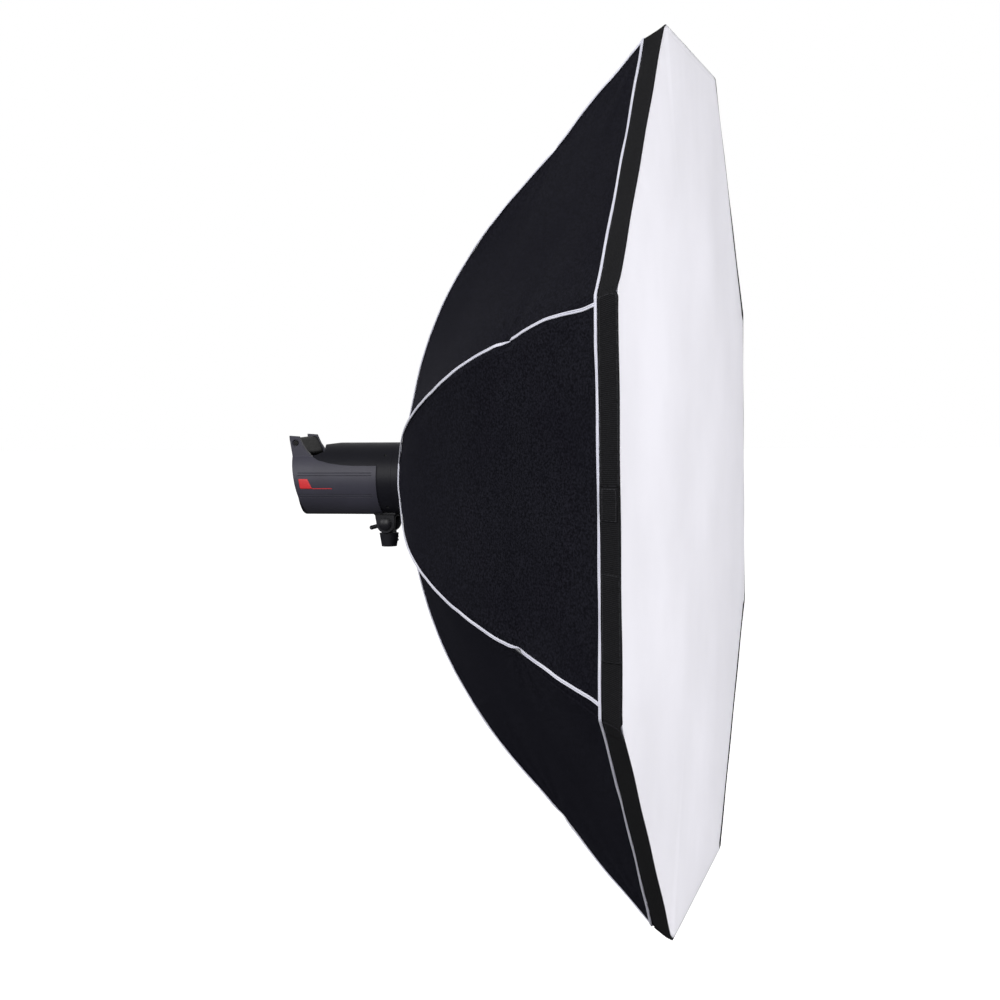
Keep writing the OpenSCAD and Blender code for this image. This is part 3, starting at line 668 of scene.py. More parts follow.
def plastic(name, colour, drift_to=None, rough=0.5, grain=520.0, strength=0.25, spec=0.4,
            coat=0.0, bevel=0.0007, wear=0.12):
    """Moulded plastic: fine grain, slight colour drift, handling marks in the gloss."""
    m = Mat(name)
    co = m.coords()
    fine = m.noise(co, scale=grain, detail=2.0, rough=0.6)
    drift = m.ramp(m.noise(co, scale=11), (0.35, 0.7))
    marks = m.noise(m.coords(scale=(1, 1, 6)), scale=45, detail=5.0, rough=0.7, dist=0.6)
    base = m.mix(drift, srgb(*colour), srgb(*(drift_to or (x * 0.86 for x in colour))))
    worn = srgb(*(min(255, x * 1.5 + 18) for x in colour))
    base = m.mix(m.ramp(marks, (0.62, 0.8), to=(0, wear)), base, worn)
    gloss = m.total((fine, 0.5), (marks, 0.5))
    return m.set(
        Base_Color=base, Roughness=m.ramp(gloss, (0.3, 0.7), to=(rough - 0.08, rough + 0.1)),
        Specular_IOR_Level=spec, Coat_Weight=coat,
        Normal=m.bump(fine, strength, distance=0.0003, normal=m.bevel(bevel)))


def metal(name, colour, rough=0.3, brushed=0.3, bevel=0.0005, metallic=1.0):
    """Brushed metal with smudges."""
    m = Mat(name)
    brush = m.noise(m.coords(scale=(1, 1, 14)), scale=160, detail=4.0, rough=0.6)
    smudge = m.noise(m.coords(), scale=24, detail=4.0)
    base = m.mix(m.ramp(smudge, (0.35, 0.7)), srgb(*colour), srgb(*(x * 0.88 for x in colour)))
    gloss = m.total((brush, 0.5), (smudge, 0.5))
    return m.set(
        Base_Color=base, Metallic=metallic,
        Roughness=m.ramp(gloss, (0.3, 0.7), to=(rough - 0.08, rough + 0.14)),
        Normal=m.bump(brush, brushed, distance=0.0002, normal=m.bevel(bevel)))


def glass(name, tint, rough, frost):
    m = Mat(name)
    cloud = m.noise(m.coords(), scale=40)
    return m.set(
        Base_Color=m.mix(cloud, srgb(*tint), srgb(*(x * 0.97 for x in tint))),
        Transmission_Weight=1.0 - frost, IOR=1.47,
        Roughness=m.ramp(cloud, (0.3, 0.7), to=(rough, rough + 0.06)),
        Normal=m.bump(cloud, strength=0.05, distance=0.0003))


def rod_material():
    """Drawn steel wire; the end beyond cap_start is a moulded black cap."""
    m = Mat("rod_steel_and_cap")
    co = m.coords()
    cap_start = -0.6198
    cap = m.num("LESS_THAN", m.sep(co)[1], cap_start)
    grain = m.noise(m.coords(scale=(3, 1, 3)), scale=420)
    tarnish = m.ramp(m.noise(co, scale=13, detail=4.0), (0.4, 0.7))
    steel = m.mix(tarnish, srgb(172, 173, 176), srgb(140, 141, 145))
    gloss = m.ramp(grain, (0.3, 0.7), to=(0.24, 0.4))
    return m.set(
        Base_Color=m.mix(cap, steel, srgb(22, 22, 23)), Metallic=m.sub(1.0, cap),
        Roughness=m.num("ADD", gloss, m.mul(cap, 0.3)),
        Normal=m.bump(grain, strength=0.2, distance=0.0002))


def elastic_material():
    m = Mat("woven_elastic")
    uv = m.coords("UV")
    rib, cross = m.wave(uv, scale=500), m.wave(uv, scale=260, axis="Y")
    height = m.num("ADD", rib, m.mul(cross, 0.4))
    return m.set(Base_Color=m.mix(rib, srgb(205, 205, 207), srgb(170, 170, 174)),
                 Roughness=0.8, Normal=m.bump(height, strength=0.5, distance=0.0005))


def pocket_material():
    m = Mat("pocket_webbing")
    weave = m.noise(m.coords(scale=(1, 6, 1)), scale=240, detail=2.0)
    fuzz = m.noise(m.coords(), scale=600, detail=2.0)
    return m.set(
        Base_Color=m.mix(m.ramp(fuzz, (0.35, 0.7)), srgb(9, 9, 10), srgb(32, 32, 35)),
        Roughness=0.9, Sheen_Weight=0.03, Specular_IOR_Level=0.1,
        Normal=m.bump(m.num("ADD", weave, fuzz), strength=0.5, distance=0.0006))


def accent_material():
    m = Mat("red_accent")
    fine = m.noise(m.coords(), scale=300, detail=2.0)
    return m.set(Base_Color=m.mix(fine, srgb(214, 52, 56), srgb(196, 40, 46)),
                 Roughness=m.ramp(fine, (0.3, 0.7), to=(0.34, 0.5)),
                 Normal=m.bump(fine, strength=0.1, distance=0.0002))


DIFFUSER_HEM, BAFFLE_HEM = 0.012, 0.01
SHELL, LINING = shell_material(), lining_material()
BAND, PIPING = band_material(), piping_material()
DIFFUSER = white_cloth("diffuser_cloth", (236, 235, 240), through=0.4, hem=DIFFUSER_HEM)
BAFFLE = white_cloth("baffle_cloth", (228, 228, 230), through=0.5, hem=BAFFLE_HEM)
BLACK = plastic("housing_black_plastic", (22, 22, 29), rough=0.4, grain=620, strength=0.22,
                spec=0.20, wear=0.03)
# painted light: the side shells are the housing's dark plastic, given a lighter tone here for the
# light that falls on the side
SIDE_PAINTED_LIGHT = plastic("side_shell_painted_light", (58, 57, 68), (52, 51, 61), rough=0.44, grain=700,
               strength=0.18, spec=0.36, coat=0.02, bevel=0.0009, wear=0.05)
HANDLE = plastic("handle_plastic", (14, 13, 13), rough=0.52, grain=380, strength=0.4,
                 spec=0.25, wear=0.05)
PANEL = plastic("rear_panel_plastic", (42, 42, 45), strength=0.3)
CONTROL = plastic("control_plastic", (16, 16, 18), rough=0.42, spec=0.35, wear=0.06)
BUTTON = plastic("button_plastic", (206, 206, 204), (196, 196, 194), rough=0.35, grain=300,
                 strength=0.1, spec=0.5)
CAST = plastic("painted_casting", (22, 22, 27), rough=0.40, grain=700, strength=0.10,
               spec=0.32, bevel=0.0012, wear=0.04)
RING = metal("black_anodised_ring", (46, 46, 49), rough=0.4, brushed=0.25, metallic=0.7)
ALLOY = metal("bare_alloy", (196, 197, 200))
ZINC = metal("zinc_steel", (178, 180, 186), brushed=0.2, bevel=0.0003)
NYLON = plastic("nylon_washer", (226, 226, 216), grain=300, strength=0.1)
HOLDER = plastic("glass_filled_nylon", (20, 20, 22), rough=0.55, grain=420, strength=0.4,
                 spec=0.3)
CERAMIC = plastic("white_ceramic", (236, 235, 230), (228, 226, 220), rough=0.3, grain=200,
                  strength=0.08, spec=0.5, coat=0.3)
ROD = rod_material()
ELASTIC, POCKET, PATCH = elastic_material(), pocket_material(), patch_material()
QUARTZ = glass("quartz_tube", (244, 246, 250), rough=0.06, frost=0.1)
LAMP = glass("frosted_lamp", (248, 248, 244), rough=0.35, frost=0.35)
DOME = glass("dome_glass", (244, 248, 250), rough=0.04, frost=0.0)

# CAD pieces by material
CAD_MATERIALS = (
    (RING, "ring_body"), (NYLON, "glide_ring"), (ALLOY, "retaining_ring bayonet_insert"),
    (ZINC, "ring_screws hinge_pins pin_clips"), (BLACK, "front_collar head_housing"),
    (SIDE_PAINTED_LIGHT, "side_shell_left side_shell_right"), (HANDLE, "handle_tray handle_bar"),
    (PANEL, "rear_panel"), (CERAMIC, "lamp_plate"), (QUARTZ, "flash_tube"),
    (LAMP, "modelling_lamp"), (DOME, "glass_dome"), (BUTTON, "test_button"),
    (CONTROL, "housing_screws control_dial power_switch bayonet_lock tilt_lever stand_lock_knob"),
    (CAST, "tilt_yoke stand_socket tilt_bolt"),
    (ROD, " ".join("rod_%d" % k for k in RODS)),
    (HOLDER, " ".join("rod_holder_%d" % k for k in RODS)))
for material, names in CAD_MATERIALS:
    for name in names.split():
        slots = NODES[name].data.materials
        slots.clear()
        slots.append(material)

# --------------------------------------------------------------------------
# shell: eight taut panels, each solved as a membrane between its two seams
# --------------------------------------------------------------------------
STATIONS = np.linspace(0, SEAM_LEN, ROWS + 1)
SHARES = np.linspace(0, 1, COLS + 1)


def membrane_system():
    """Anisotropic Laplacian of a panel's inner points, and each point's ties to the border."""
    size = (ROWS - 1) * (COLS - 1)
    matrix = np.zeros((size, size))
    ties = {}

    def number(i, j):
        return (i - 1) * (COLS - 1) + (j - 1)

    step = SEAM_LEN / ROWS
    for i in range(1, ROWS):
        width = 2 * SEAM.at(i * step)[0] * HALF_SIDE / COLS
        pull_across, pull_along = step / width, width / step
        for j in range(1, COLS):
            here = number(i, j)
            matrix[here, here] = 2 * (pull_across + pull_along)
            for ii, jj, pull in ((i, j - 1, pull_across), (i, j + 1, pull_across),
                                 (i - 1, j, pull_along), (i + 1, j, pull_along)):
                if 1 <= ii <= ROWS - 1 and 1 <= jj <= COLS - 1:
                    matrix[here, number(ii, jj)] -= pull
                else:
                    ties.setdefault(here, []).append((ii, jj, pull))
    return matrix, ties


def panel_border(k):
    """Panel grid with only its border filled: two seams, the hub arc and the rim."""
    grid = np.zeros((ROWS + 1, COLS + 1, 3))
    for i, s in enumerate(STATIONS):
        grid[i, 0], grid[i, -1] = seam_point(k, s), seam_point(following(k), s)
    rim_normal = out_normal(spoke(k) + HALF_ANGLE, SEAM_LEN)
    rim_sag = 0.0022
    for j in range(1, COLS):
        u = SHARES[j]
        radius = HUB_MID_R + (HUB_R - HUB_MID_R) * abs(2 * u - 1) ** 2
        grid[0, j] = polar(spoke(k) + u * SIDE_ANGLE, radius, HUB_D)
        grid[-1, j] = (1 - u) * grid[-1, 0] + u * grid[-1, -1]
        grid[-1, j] += rim_sag * (1 - (2 * u - 1) ** 2) * -rim_normal
    return grid


def border_pull(grid, ties, size):
    pull = np.zeros((size, 3))
    for here, items in ties.items():
        for i, j, weight in items:
            pull[here] += weight * grid[i, j]
    return pull


def fan(dx, dy, height, reach, core, rays, phase):
    """Folds that radiate from a point and die out over reach; flat inside core."""
    r, angle = hypot(dx, dy), atan2(dy, abs(dx) + 1e-6)
    return height * exp(-r / reach) * (1 - exp(-r / core)) * cos(rays * angle + phase)


def wrinkle(x, s, half, phase):
    """Small life in the cloth: x is the distance from the panel's middle, half its half-width."""
    height = 0.0
    for side, turn in ((-1, phase[0]), (1, phase[1])):
        dx = x - side * half
        # tension at the dimple, then folds at the rim corner
        height += fan(dx, s - DIMPLE, height=0.0030, reach=0.085, core=0.012, rays=9, phase=turn)
        height += fan(dx, SEAM_LEN - s, height=0.0026, reach=0.12, core=0.02, rays=10,
                      phase=turn + 1.7)
        # pucker beside the seam: 31 mm waves that fade within 12 mm
        if abs(dx) > 1e-6:
            height += 0.0007 * exp(-abs(dx) / 0.012) * sin(2 * pi * s / 0.031 + turn)
    # broad swell, then a finer slanting one
    height += 0.0016 * sin(5.1 * s + phase[2]) * sin(3.3 * x + phase[3])
    height += 0.0009 * sin(17 * s + 6 * x + phase[4]) * sin(11 * x - 5 * s + phase[5])
    return height


def panel_wrinkles():
    phase = rng.uniform(0, 6.28, 12)
    heights = np.zeros((ROWS + 1, COLS + 1))
    # the wrinkles fade out over these distances from the seams, hub and rim
    fade_seam, fade_hub, fade_rim = 0.02, 0.05, 0.03
    for i, s in enumerate(STATIONS):
        half = SEAM.at(s)[0] * HALF_SIDE
        fade = min(1.0, s / fade_hub) * min(1.0, (SEAM_LEN - s) / fade_rim)
        for j, u in enumerate(SHARES):
            fade_u = min(1.0, min(u, 1 - u) * 2 * half / fade_seam)
            heights[i, j] = wrinkle((2 * u - 1) * half, s, half, phase) * fade_u * fade
    return heights


def follow_after_hub(s):
    """The cloth is held still at the hub and is free 0.12 m along the seam."""
    return smooth(s, 0.0, 0.12)


def add_panel(k, grid):
    """Panel object with its outer cloth and silver inside."""
    u = SHARES[None, :, None]
    offset = grid - (grid[:, :1] * (1 - u) + grid[:, -1:] * u)
    normals = [out_normal(spoke(k) + x * SIDE_ANGLE, s) for s in STATIONS for x in SHARES]
    uv = np.zeros((ROWS + 1, COLS + 1, 2))
    for i, s in enumerate(STATIONS):
        half = max(SEAM.at(s)[0] * HALF_SIDE, 0.02)
        uv[i, :, 0] = np.minimum(SHARES, 1 - SHARES) * 2 * half
        uv[i, :, 1] = s
    across = np.tile(SHARES, ROWS + 1)
    obj = new_object("cloth_panel_%d" % k, row(grid.reshape(-1, 3)),
                     grid_faces(ROWS + 1, COLS + 1), [SHELL, LINING], uv.reshape(-1, 2))
    follow_rods(obj, SKIN_SHEET, (grid[:, :1] + offset).reshape(-1, 3),
                (grid[:, -1:] + offset).reshape(-1, 3), across, np.full(across.size, k), normals,
                follow=np.repeat(follow_after_hub(STATIONS), COLS + 1))
    solidify(obj, CLOTH, offset=-1.0, inner=1)
    register(obj, "shell_panel_%d" % k)


def build_shell():
    """Builds the panels and returns their grids by number."""
    matrix, ties = membrane_system()
    grids = {k: panel_border(k) for k in RODS}
    pulls = [border_pull(grids[k], ties, len(matrix)) for k in RODS]
    solved = np.linalg.solve(matrix, np.concatenate(pulls, 1))
    for k, grid in grids.items():
        inner = solved[:, 3 * (k - 1):3 * k]
        grid[1:-1, 1:-1] = inner.reshape(ROWS - 1, COLS - 1, 3)
        normals = np.array([out_normal(spoke(k) + HALF_ANGLE, s) for s in STATIONS])
        grid += panel_wrinkles()[..., None] * normals[:, None]
        add_panel(k, grid)
    return grids


# --------------------------------------------------------------------------
# piping: a flat binding that stands on the seams, the rim and the rear opening
# --------------------------------------------------------------------------
# section of the binding: side in half-widths, height in heights
TAPE_SECTION = np.array([
    (-1, 0), (-0.98, 0.55), (-0.72, 1), (-0.3, 1.02), (-0.1, 0.72), (0.1, 0.72),
    (0.3, 1.02), (0.72, 1), (0.98, 0.55), (1, 0), (0.5, -0.3), (-0.5, -0.3)])


def sweep(points, outs, width, height, scale=1.0, closed=False):
    """Rings of the tape along points, standing on the outs directions, and their uv."""
    points, outs = np.asarray(points, float), np.asarray(outs, float)
    if closed:
        tangents = np.roll(points, -1, 0) - np.roll(points, 1, 0)
    else:
        tangents = np.gradient(points, axis=0)
    tangents /= np.linalg.norm(tangents, axis=1)[:, None]
    outs = outs - (outs * tangents).sum(1)[:, None] * tangents
    outs /= np.linalg.norm(outs, axis=1)[:, None]
    side = np.cross(tangents, outs)
    section = TAPE_SECTION * (width / 2, height)
    steps = np.linalg.norm(np.diff(points, axis=0), axis=1)
    scale = np.broadcast_to(scale, len(points))[:, None, None]
    rings = points[:, None] + side[:, None] * (section[None, :, :1] * scale)
    rings = rings + outs[:, None] * (section[None, :, 1:] * scale)
    uv = np.zeros((len(points), len(section), 2))
    uv[..., 0] = section[None, :, 0]
    uv[..., 1] = np.concatenate([[0], np.cumsum(steps)])[:, None]
    return rings, uv


def on_panel(grids, k, s, side):
    """Spot on the cloth beside seam k: position, both seam points, share across, panel."""
    panel = k if side >= 0 else (k - 2) % 8 + 1
    grid = grids[panel]
    u = min(abs(side) / max(2 * SEAM.at(s)[0] * HALF_SIDE, 0.05), 0.45)
    if side < 0:
        u = 1 - u
    fi, fj = np.clip(s / SEAM_LEN, 0, 1) * ROWS, u * COLS
    i, j = min(int(fi), ROWS - 1), min(int(fj), COLS - 1)
    a, b = fi - i, fj - j

    def between_rows(column):
        return grid[i, column] * (1 - a) + grid[i + 1, column] * a

    spot = between_rows(j) * (1 - b) + between_rows(j + 1) * b
    return spot, between_rows(0), between_rows(-1), u, panel


def build_seam_piping(grids):
    stations = np.concatenate([
        np.linspace(0.004, DIMPLE - 0.05, 60), np.linspace(DIMPLE - 0.045, DIMPLE + 0.045, 31),
        np.linspace(DIMPLE + 0.05, SEAM_LEN - 0.003, 30)])
    parts, faces, base = [], [], 0
    for k in RODS:
        side = np.array([seam_side(k, s) for s in stations])
        side = side + 0.0005 * np.sin(31 * stations + 1.3 * k)
        side = side + 0.0004 * np.sin(83 * stations + 2.1 * k)
        spots = [on_panel(grids, k, s, t) for s, t in zip(stations, side)]
        spot, start, end, across, panel = (np.array(c) for c in zip(*spots))
        # on the ridge of the seam the tape stands up; off it, it lies on the panel
        ridge = np.array([out_normal(spoke(k), s) for s in stations])
        flat = np.array([out_normal(spoke(k) + (HALF_ANGLE if t >= 0 else -HALF_ANGLE), s)
                         for s, t in zip(stations, side)])
        lay = smooth(np.abs(side), 0.001, 0.007)[:, None]
        outs = ridge * (1 - lay) + flat * lay
        squeeze = 0.74 if k == 5 else 0.5
        pinch = np.array([1 - squeeze * bell(s, DIMPLE, 0.013) for s in stations])
        rings, uv = sweep(spot + outs * 0.0011, outs, width=0.0066, height=0.0024, scale=pinch)
        n, m = rings.shape[:2]
        w = across[:, None]
        offset = rings - (start * (1 - w) + end * w)[:, None]
        wave = (1 - np.cos(2 * np.pi * PLEATS * across)) / 2 + 0.07 * lay[:, 0]
        parts.append((
            rings.reshape(-1, 3), uv.reshape(-1, 2), (start[:, None] + offset).reshape(-1, 3),
            (end[:, None] + offset).reshape(-1, 3), np.repeat(across, m), np.repeat(panel, m),
            np.repeat(outs, m, 0), np.repeat(follow_after_hub(stations), m),
            np.repeat(wave, m)))
        faces += shifted(tube_faces(n, m, False), base)
        base += n * m
    points, uvs, a, b, across, panels, normals, follow, wave = map(np.concatenate, zip(*parts))
    obj = new_object("seam_piping_tape", row(points), faces, [PIPING], uvs)
    follow_rods(obj, SKIN_SHEET, a, b, across, panels, normals, follow=follow, wave=wave)
    register(obj, "seam_piping")


def rim_corner(k):
    return polar(spoke(k), *SEAM.at(SEAM_LEN))


def lip_corner(k, back=0.0):
    """Corner of the lip's front edge; back moves down the band towards the rim."""
    t = back / BAND_W
    return polar(spoke(k), LIP_R + (RIM_R - LIP_R) * t, LIP_D + (RIM_D - LIP_D) * t)


def ease_corners(points, passes):
    """Eases the sharp turns of a closed line, or of a closed row of lines."""
    for _ in range(passes):
        points = 0.25 * np.roll(points, 1, 0) + 0.5 * points + 0.25 * np.roll(points, -1, 0)
    return points


def crowded(count, pull):
    """Shares from 0 to just below 1, crowded towards both ends."""
    t = np.linspace(0, 1, count + 1)[:-1]
    return t - pull * np.sin(2 * np.pi * t) / (2 * np.pi)


# small kinks in the rim piping: side, share along it, height
RIM_KINKS = (
    (2, 0.86, 0.0022), (3, 0.41, -0.0030), (3, 0.46, 0.0024), (4, 0.12, 0.0016),
    (4, 0.72, -0.0018), (5, 0.3, 0.0022), (5, 0.66, -0.0018), (6, 0.2, 0.0015),
    (7, 0.5, 0.002), (8, 0.35, -0.002), (1, 0.6, 0.0018))


def build_rim_piping():
    points, outs, sides, across = [], [], [], []
    for k in RODS:
        a, b = rim_corner(k), rim_corner(following(k))
        normal = out_normal(spoke(k) + HALF_ANGLE, SEAM_LEN)
        kinks = [(height, centre, 0.012) for side, centre, height in RIM_KINKS if side == k]
        for u in crowded(60, 0.8):
            sag = 0.0022 * (1 - (2 * u - 1) ** 2)
            lift = 0.0012 + (bells(u, kinks) + 0.0006 * sin(23 * u + 3 * k) - sag)
            points.append(a * (1 - u) + b * u + normal * lift)
            outs.append(out_normal(spoke(k) + u * SIDE_ANGLE, SEAM_LEN) * 0.3 + normal * 0.7)
            sides.append(k)
            across.append(u)
    points = ease_corners(np.array(points), 3)
    rings, uv = sweep(points, outs, width=0.0067, height=0.0026, closed=True)
    n, m = rings.shape[:2]
    sides, across, rings = np.repeat(sides, m), np.repeat(across, m), rings.reshape(-1, 3)
    obj = new_object("rim_piping_tape", row(rings), tube_faces(n, m, True), [PIPING],
                     uv.reshape(-1, 2))
    follow_side(obj, rings, sides, across, [rim_corner(k) for k in sides],
                [rim_corner(following(k)) for k in sides])
    register(obj, "rim_piping")


# section of the rear hem, from the inside of the opening outwards: radius, depth
HEM_PROFILE = ((0.0845, 0.0018), (0.0880, 0.0016), (0.0925, 0.0012), (0.0955, 0.0012),
               (0.0978, 0.0022), (0.1000, 0.0034))
HEM_STEPS = 160


def build_rear_hem():
    """Cloth hem that turns in over the ring."""
    points, uvs = [], []
    for i in range(HEM_STEPS):
        a = 2 * pi * i / HEM_STEPS
        for j, (r, d) in enumerate(HEM_PROFILE):
            radius = r + (0.0002 * sin(19 * a) if j > 1 else 0)
            points.append(polar(a, radius, d + 0.0002 * sin(27 * a + j)))
            uvs.append((0.02 + r - HEM_PROFILE[0][0], a * 0.095))
    obj = new_object("rear_hem", row(np.array(points)),
                     grid_faces(HEM_STEPS, len(HEM_PROFILE), True, False), [SHELL], uvs)
    solidify(obj, CLOTH)
    register(obj, "rear_collar")


def build_rear_piping():
    a = np.linspace(0, 2 * np.pi, HEM_STEPS + 1)[:-1]
    radius, depth = 0.0962, 0.0002
    depths = np.full(a.size, depth) + 0.0003 * np.sin(11 * a)
    points = np.stack([radius * np.cos(a), radius * np.sin(a), depths], -1)
    outs = np.stack([0.35 * np.cos(a), 0.35 * np.sin(a), np.full(a.size, -1.0)], -1)
    rings, uv = sweep(points, outs, width=0.0070, height=0.0026, closed=True)
    obj = new_object("rear_hem_piping", row(rings.reshape(-1, 3)),
                     tube_faces(*rings.shape[:2], True), [PIPING], uv.reshape(-1, 2))
    register(obj)


# --------------------------------------------------------------------------
# lip band: a ribbed strip of webbing round the front, with doubled pieces on it
# --------------------------------------------------------------------------
# stations across the band, from the rim (0) to the front edge (1)
BAND_STATIONS = np.array([0.0, 0.06, 0.16, 0.3, 0.45, 0.6, 0.75, 0.9, 0.97, 1.0])
# the small V open at a corner of the front edge: depth as a share of the band,
# reach before the corner and after it
NOTCHES = {4: (0.15, 0.016, 0.007), 5: (0.12, 0.006, 0.016)}
OTHER_NOTCH = (0.03, 0.008, 0.008)


def band_normal(k):
    return polar(spoke(k) + HALF_ANGLE, cos(rad(BAND_LEAN)), -sin(rad(BAND_LEAN)))


def band_corner(k, t):
    return lip_corner(k, BAND_W * (1 - t))


def band_point(k, u, t):
    return band_corner(k, t) * (1 - u) + band_corner(following(k), t) * u


def notch(k, u):
    """How far the front edge is drawn back near a corner, as a local vector."""
    after = u < 0.5
    depth, reach_before, reach_after = NOTCHES.get(k if after else following(k), OTHER_NOTCH)
    end = min(u, 1 - u) * LIP_SIDE
    down = (rim_corner(k) - lip_corner(k)) * (1 - u)
    down = down + (rim_corner(following(k)) - lip_corner(following(k))) * u
    return down * (depth * exp(-((end / (reach_after if after else reach_before)) ** 2)))


def follow_band(obj, points, sides, across, stations):
    follow_side(obj, points, sides, across,
                [band_corner(k, t) for k, t in zip(sides, stations)],
                [band_corner(following(k), t) for k, t in zip(sides, stations)])


def build_band():
    points, uvs = [], []
    shares, m = crowded(48, 0.85), len(BAND_STATIONS)
    columns = [(k, u) for k in RODS for u in shares]
    for k, u in columns:
        end = min(u, 1 - u) * LIP_SIDE
        for t in BAND_STATIONS:
            # the band is slack at its corners, rolls along its front edge and nicks in
            roll = 0.0016 * exp(-end / 0.03) * sin(3.1 * t + k)
            roll += 0.0007 * sin(21 * u + 2 * t + k) * min(1, end / 0.03)
            nick = -0.0030 * exp(-(end / 0.010) ** 2) * t
            points.append(band_point(k, u, t) + band_normal(k) * (roll + nick))
            uvs.append((t * BAND_W, (k + u) * LIP_SIDE))
    grid = ease_corners(np.array(points).reshape(-1, m, 3), 2)
    for i, (k, u) in enumerate(columns):
        grid[i] += notch(k, u)[None, :] * BAND_STATIONS[:, None] ** 2
    points = grid.reshape(-1, 3)
    obj = new_object("lip_band_webbing", row(points), grid_faces(len(columns), m, True, False),
                     [BAND], uvs)
    follow_band(obj, points, np.repeat([k for k, u in columns], m),
                np.repeat([u for k, u in columns], m), np.tile(BAND_STATIONS, len(columns)))
    solidify(obj, 0.0018)
    register(obj, "lip_band")


def lap(k, start, end, low=0.13, high=1.0, start_slant=0.0, end_slant=0.0, lift=0.0021,
        rounding=0.0, steps=26):
    """Second layer of webbing on side k, as rows of point, side, share, station, uv.

    start and end are shares of the side, low and high shares of the band's width; the slants
    and the rounding move the ends by metres towards the front edge.
    """
    out = []
    for i in range(steps):
        g = i / (steps - 1)
        for t in low + (high - low) * BAND_STATIONS:
            f = (t - low) / (high - low)
            slant = start_slant * f + rounding * max(0.0, 2 * f - 1) ** 3
            a = start + slant / LIP_SIDE
            b = end + end_slant * f / LIP_SIDE
            u = a + (b - a) * g
            from_end = min(g, 1 - g) * (b - a) * LIP_SIDE
            # the cut ends are pressed down and the surface ripples a little
            height = lift - 0.0007 * exp(-from_end / 0.0015) + 0.0003 * sin(120 * u + t * 4)
            point = band_point(k, u, t) + band_normal(k) * height
            point = point + notch(k, min(max(u, 0.0), 1.0)) * t * t
            edge = min(from_end, (f if f < 0.5 else 1 - f) * (high - low) * BAND_W)
            out.append((point, k, u, t, (edge, u * LIP_SIDE)))
    return out


def build_laps(name, items, thickness):
    rows, faces = [], []
    for k, options in items:
        piece, m = lap(k, **options), len(BAND_STATIONS)
        faces += shifted(grid_faces(len(piece) // m, m), len(rows))
        rows += piece
    points, sides, across, stations, uvs = map(np.array, zip(*rows))
    obj = new_object(name, row(points), faces, [PATCH], uvs)
    follow_band(obj, points, sides, across, stations)
    solidify(obj, thickness)
    register(obj)


CORNER_LAP = dict(start=0.0012, end=0.036 / LIP_SIDE, rounding=0.009, lift=0.0020, steps=14)
LAPS = [(k, CORNER_LAP) for k in (1, 5, 6, 7, 8)] + [
    (4, dict(start=0.0012, end=0.4475, rounding=0.005, lift=0.0020, steps=60)),
    (4, dict(start=0.648, end=0.862, end_slant=-0.008, steps=40)),
    (8, dict(start=0.3, end=0.47, start_slant=0.006)),
    (6, dict(start=0.58, end=0.8, end_slant=-0.006)),
    (2, dict(start=0.5, end=0.67))]
SMALL_PATCH = [(4, dict(start=0.449, end=0.528, low=0.16, high=0.88, lift=0.0019))]

# --------------------------------------------------------------------------
# the two white sheets: the front diffuser inside the lip and the inner baffle
# --------------------------------------------------------------------------
# rings of a sheet, as shares of the way from its middle to its edge
SHEET_LEVELS = (1.0, 0.992, 0.985, 0.975, 0.96, 0.94, 0.915, 0.885, 0.85, 0.8,
                0.74, 0.67, 0.6, 0.52, 0.44, 0.36, 0.28, 0.2, 0.13, 0.07)
# how far the diffuser's edge sits behind the lip, at the start and end of each side
RECESS = {1: (0.0040, 0.0016), 2: (0.0004, 0.0004), 3: (0.004, 0.004), 4: (0.004, 0.004),
          5: (0.004, 0.004), 6: (0.0004, 0.0004), 7: (0.0042, 0.0042), 8: (0.0014, 0.0014)}


def diffuser_edge(k, u):
    first, last = RECESS[k]
    back = first + (last - first) * float(smooth(u, 0.25, 0.7))
    p = lip_corner(k, back) * (1 - u) + lip_corner(following(k), back) * u
    p = p - band_normal(k) * 0.0017
    # hem corners are cut off round, corner 3 the least
    cut = 0.0015 if (k if u < 0.5 else following(k)) == 3 else 0.006
    p[:2] *= 1 - cut * exp(-min(u, 1 - u) * LIP_SIDE / 0.016)
    return p


def baffle_corner(k):
    return polar(spoke(k), BAFFLE_R, SHEET_D)


def baffle_edge(k, u):
    p = baffle_corner(k) * (1 - u) + baffle_corner(following(k)) * u
    p[:2] *= 1 - 0.030 * (1 - (2 * u - 1) ** 2)
    return p


def build_sheet(name, edge, corner, depth, bulge, side_steps, side_length, ripple, material,
                skin):
    """Eight-sided sheet as a polar grid; ripple is the height of the small folds at its edge."""
    rows = []
    for k in RODS:
        for u in (i / side_steps for i in range(side_steps)):
            x, y, z = edge(k, u)
            for f in SHEET_LEVELS:
                height = depth + (z - depth) * f ** 3 + bulge * (1 - f * f)
                a = atan2(y * f, x * f)
                folds = sin(a * 64 + 2 * sin(3 * a)) * (0.4 + 0.6 * abs(sin(4 * (a - rad(22.5)))))
                height += ripple * exp(-(1 - f) / 0.07) * (1 - f) / 0.07 * folds
                uv = ((1 - f) * hypot(x, y), (k + u) * side_length)
                rows.append(((x * f, y * f, height), f, u, k, uv))
    # the middle is closed by a fan to one point
    n, m = 8 * side_steps, len(SHEET_LEVELS)
    rows.append(((0.0, 0.0, depth + bulge), 0.0, 0.0, 1, (0.8, 0.0)))
    faces = grid_faces(n, m, True, False)
    faces += [(i * m + m - 1, n * m, (i + 1) % n * m + m - 1) for i in range(n)]
    points, share, across, sides, uvs = map(np.array, zip(*rows))
    obj = new_object(name, row(points), faces, [material], uvs)
    a = np.array([corner(k) for k in sides])
    b = np.array([corner(following(k)) for k in sides])
    w, f = across[:, None], share[:, None]
    flat = f * (a * (1 - w) + b * w) + (1 - f) * np.array([0, 0, corner(1)[2]])
    follow_rods(obj, skin, a, b, across, sides, REARWARD, share=share, offset=points - flat)
    return obj


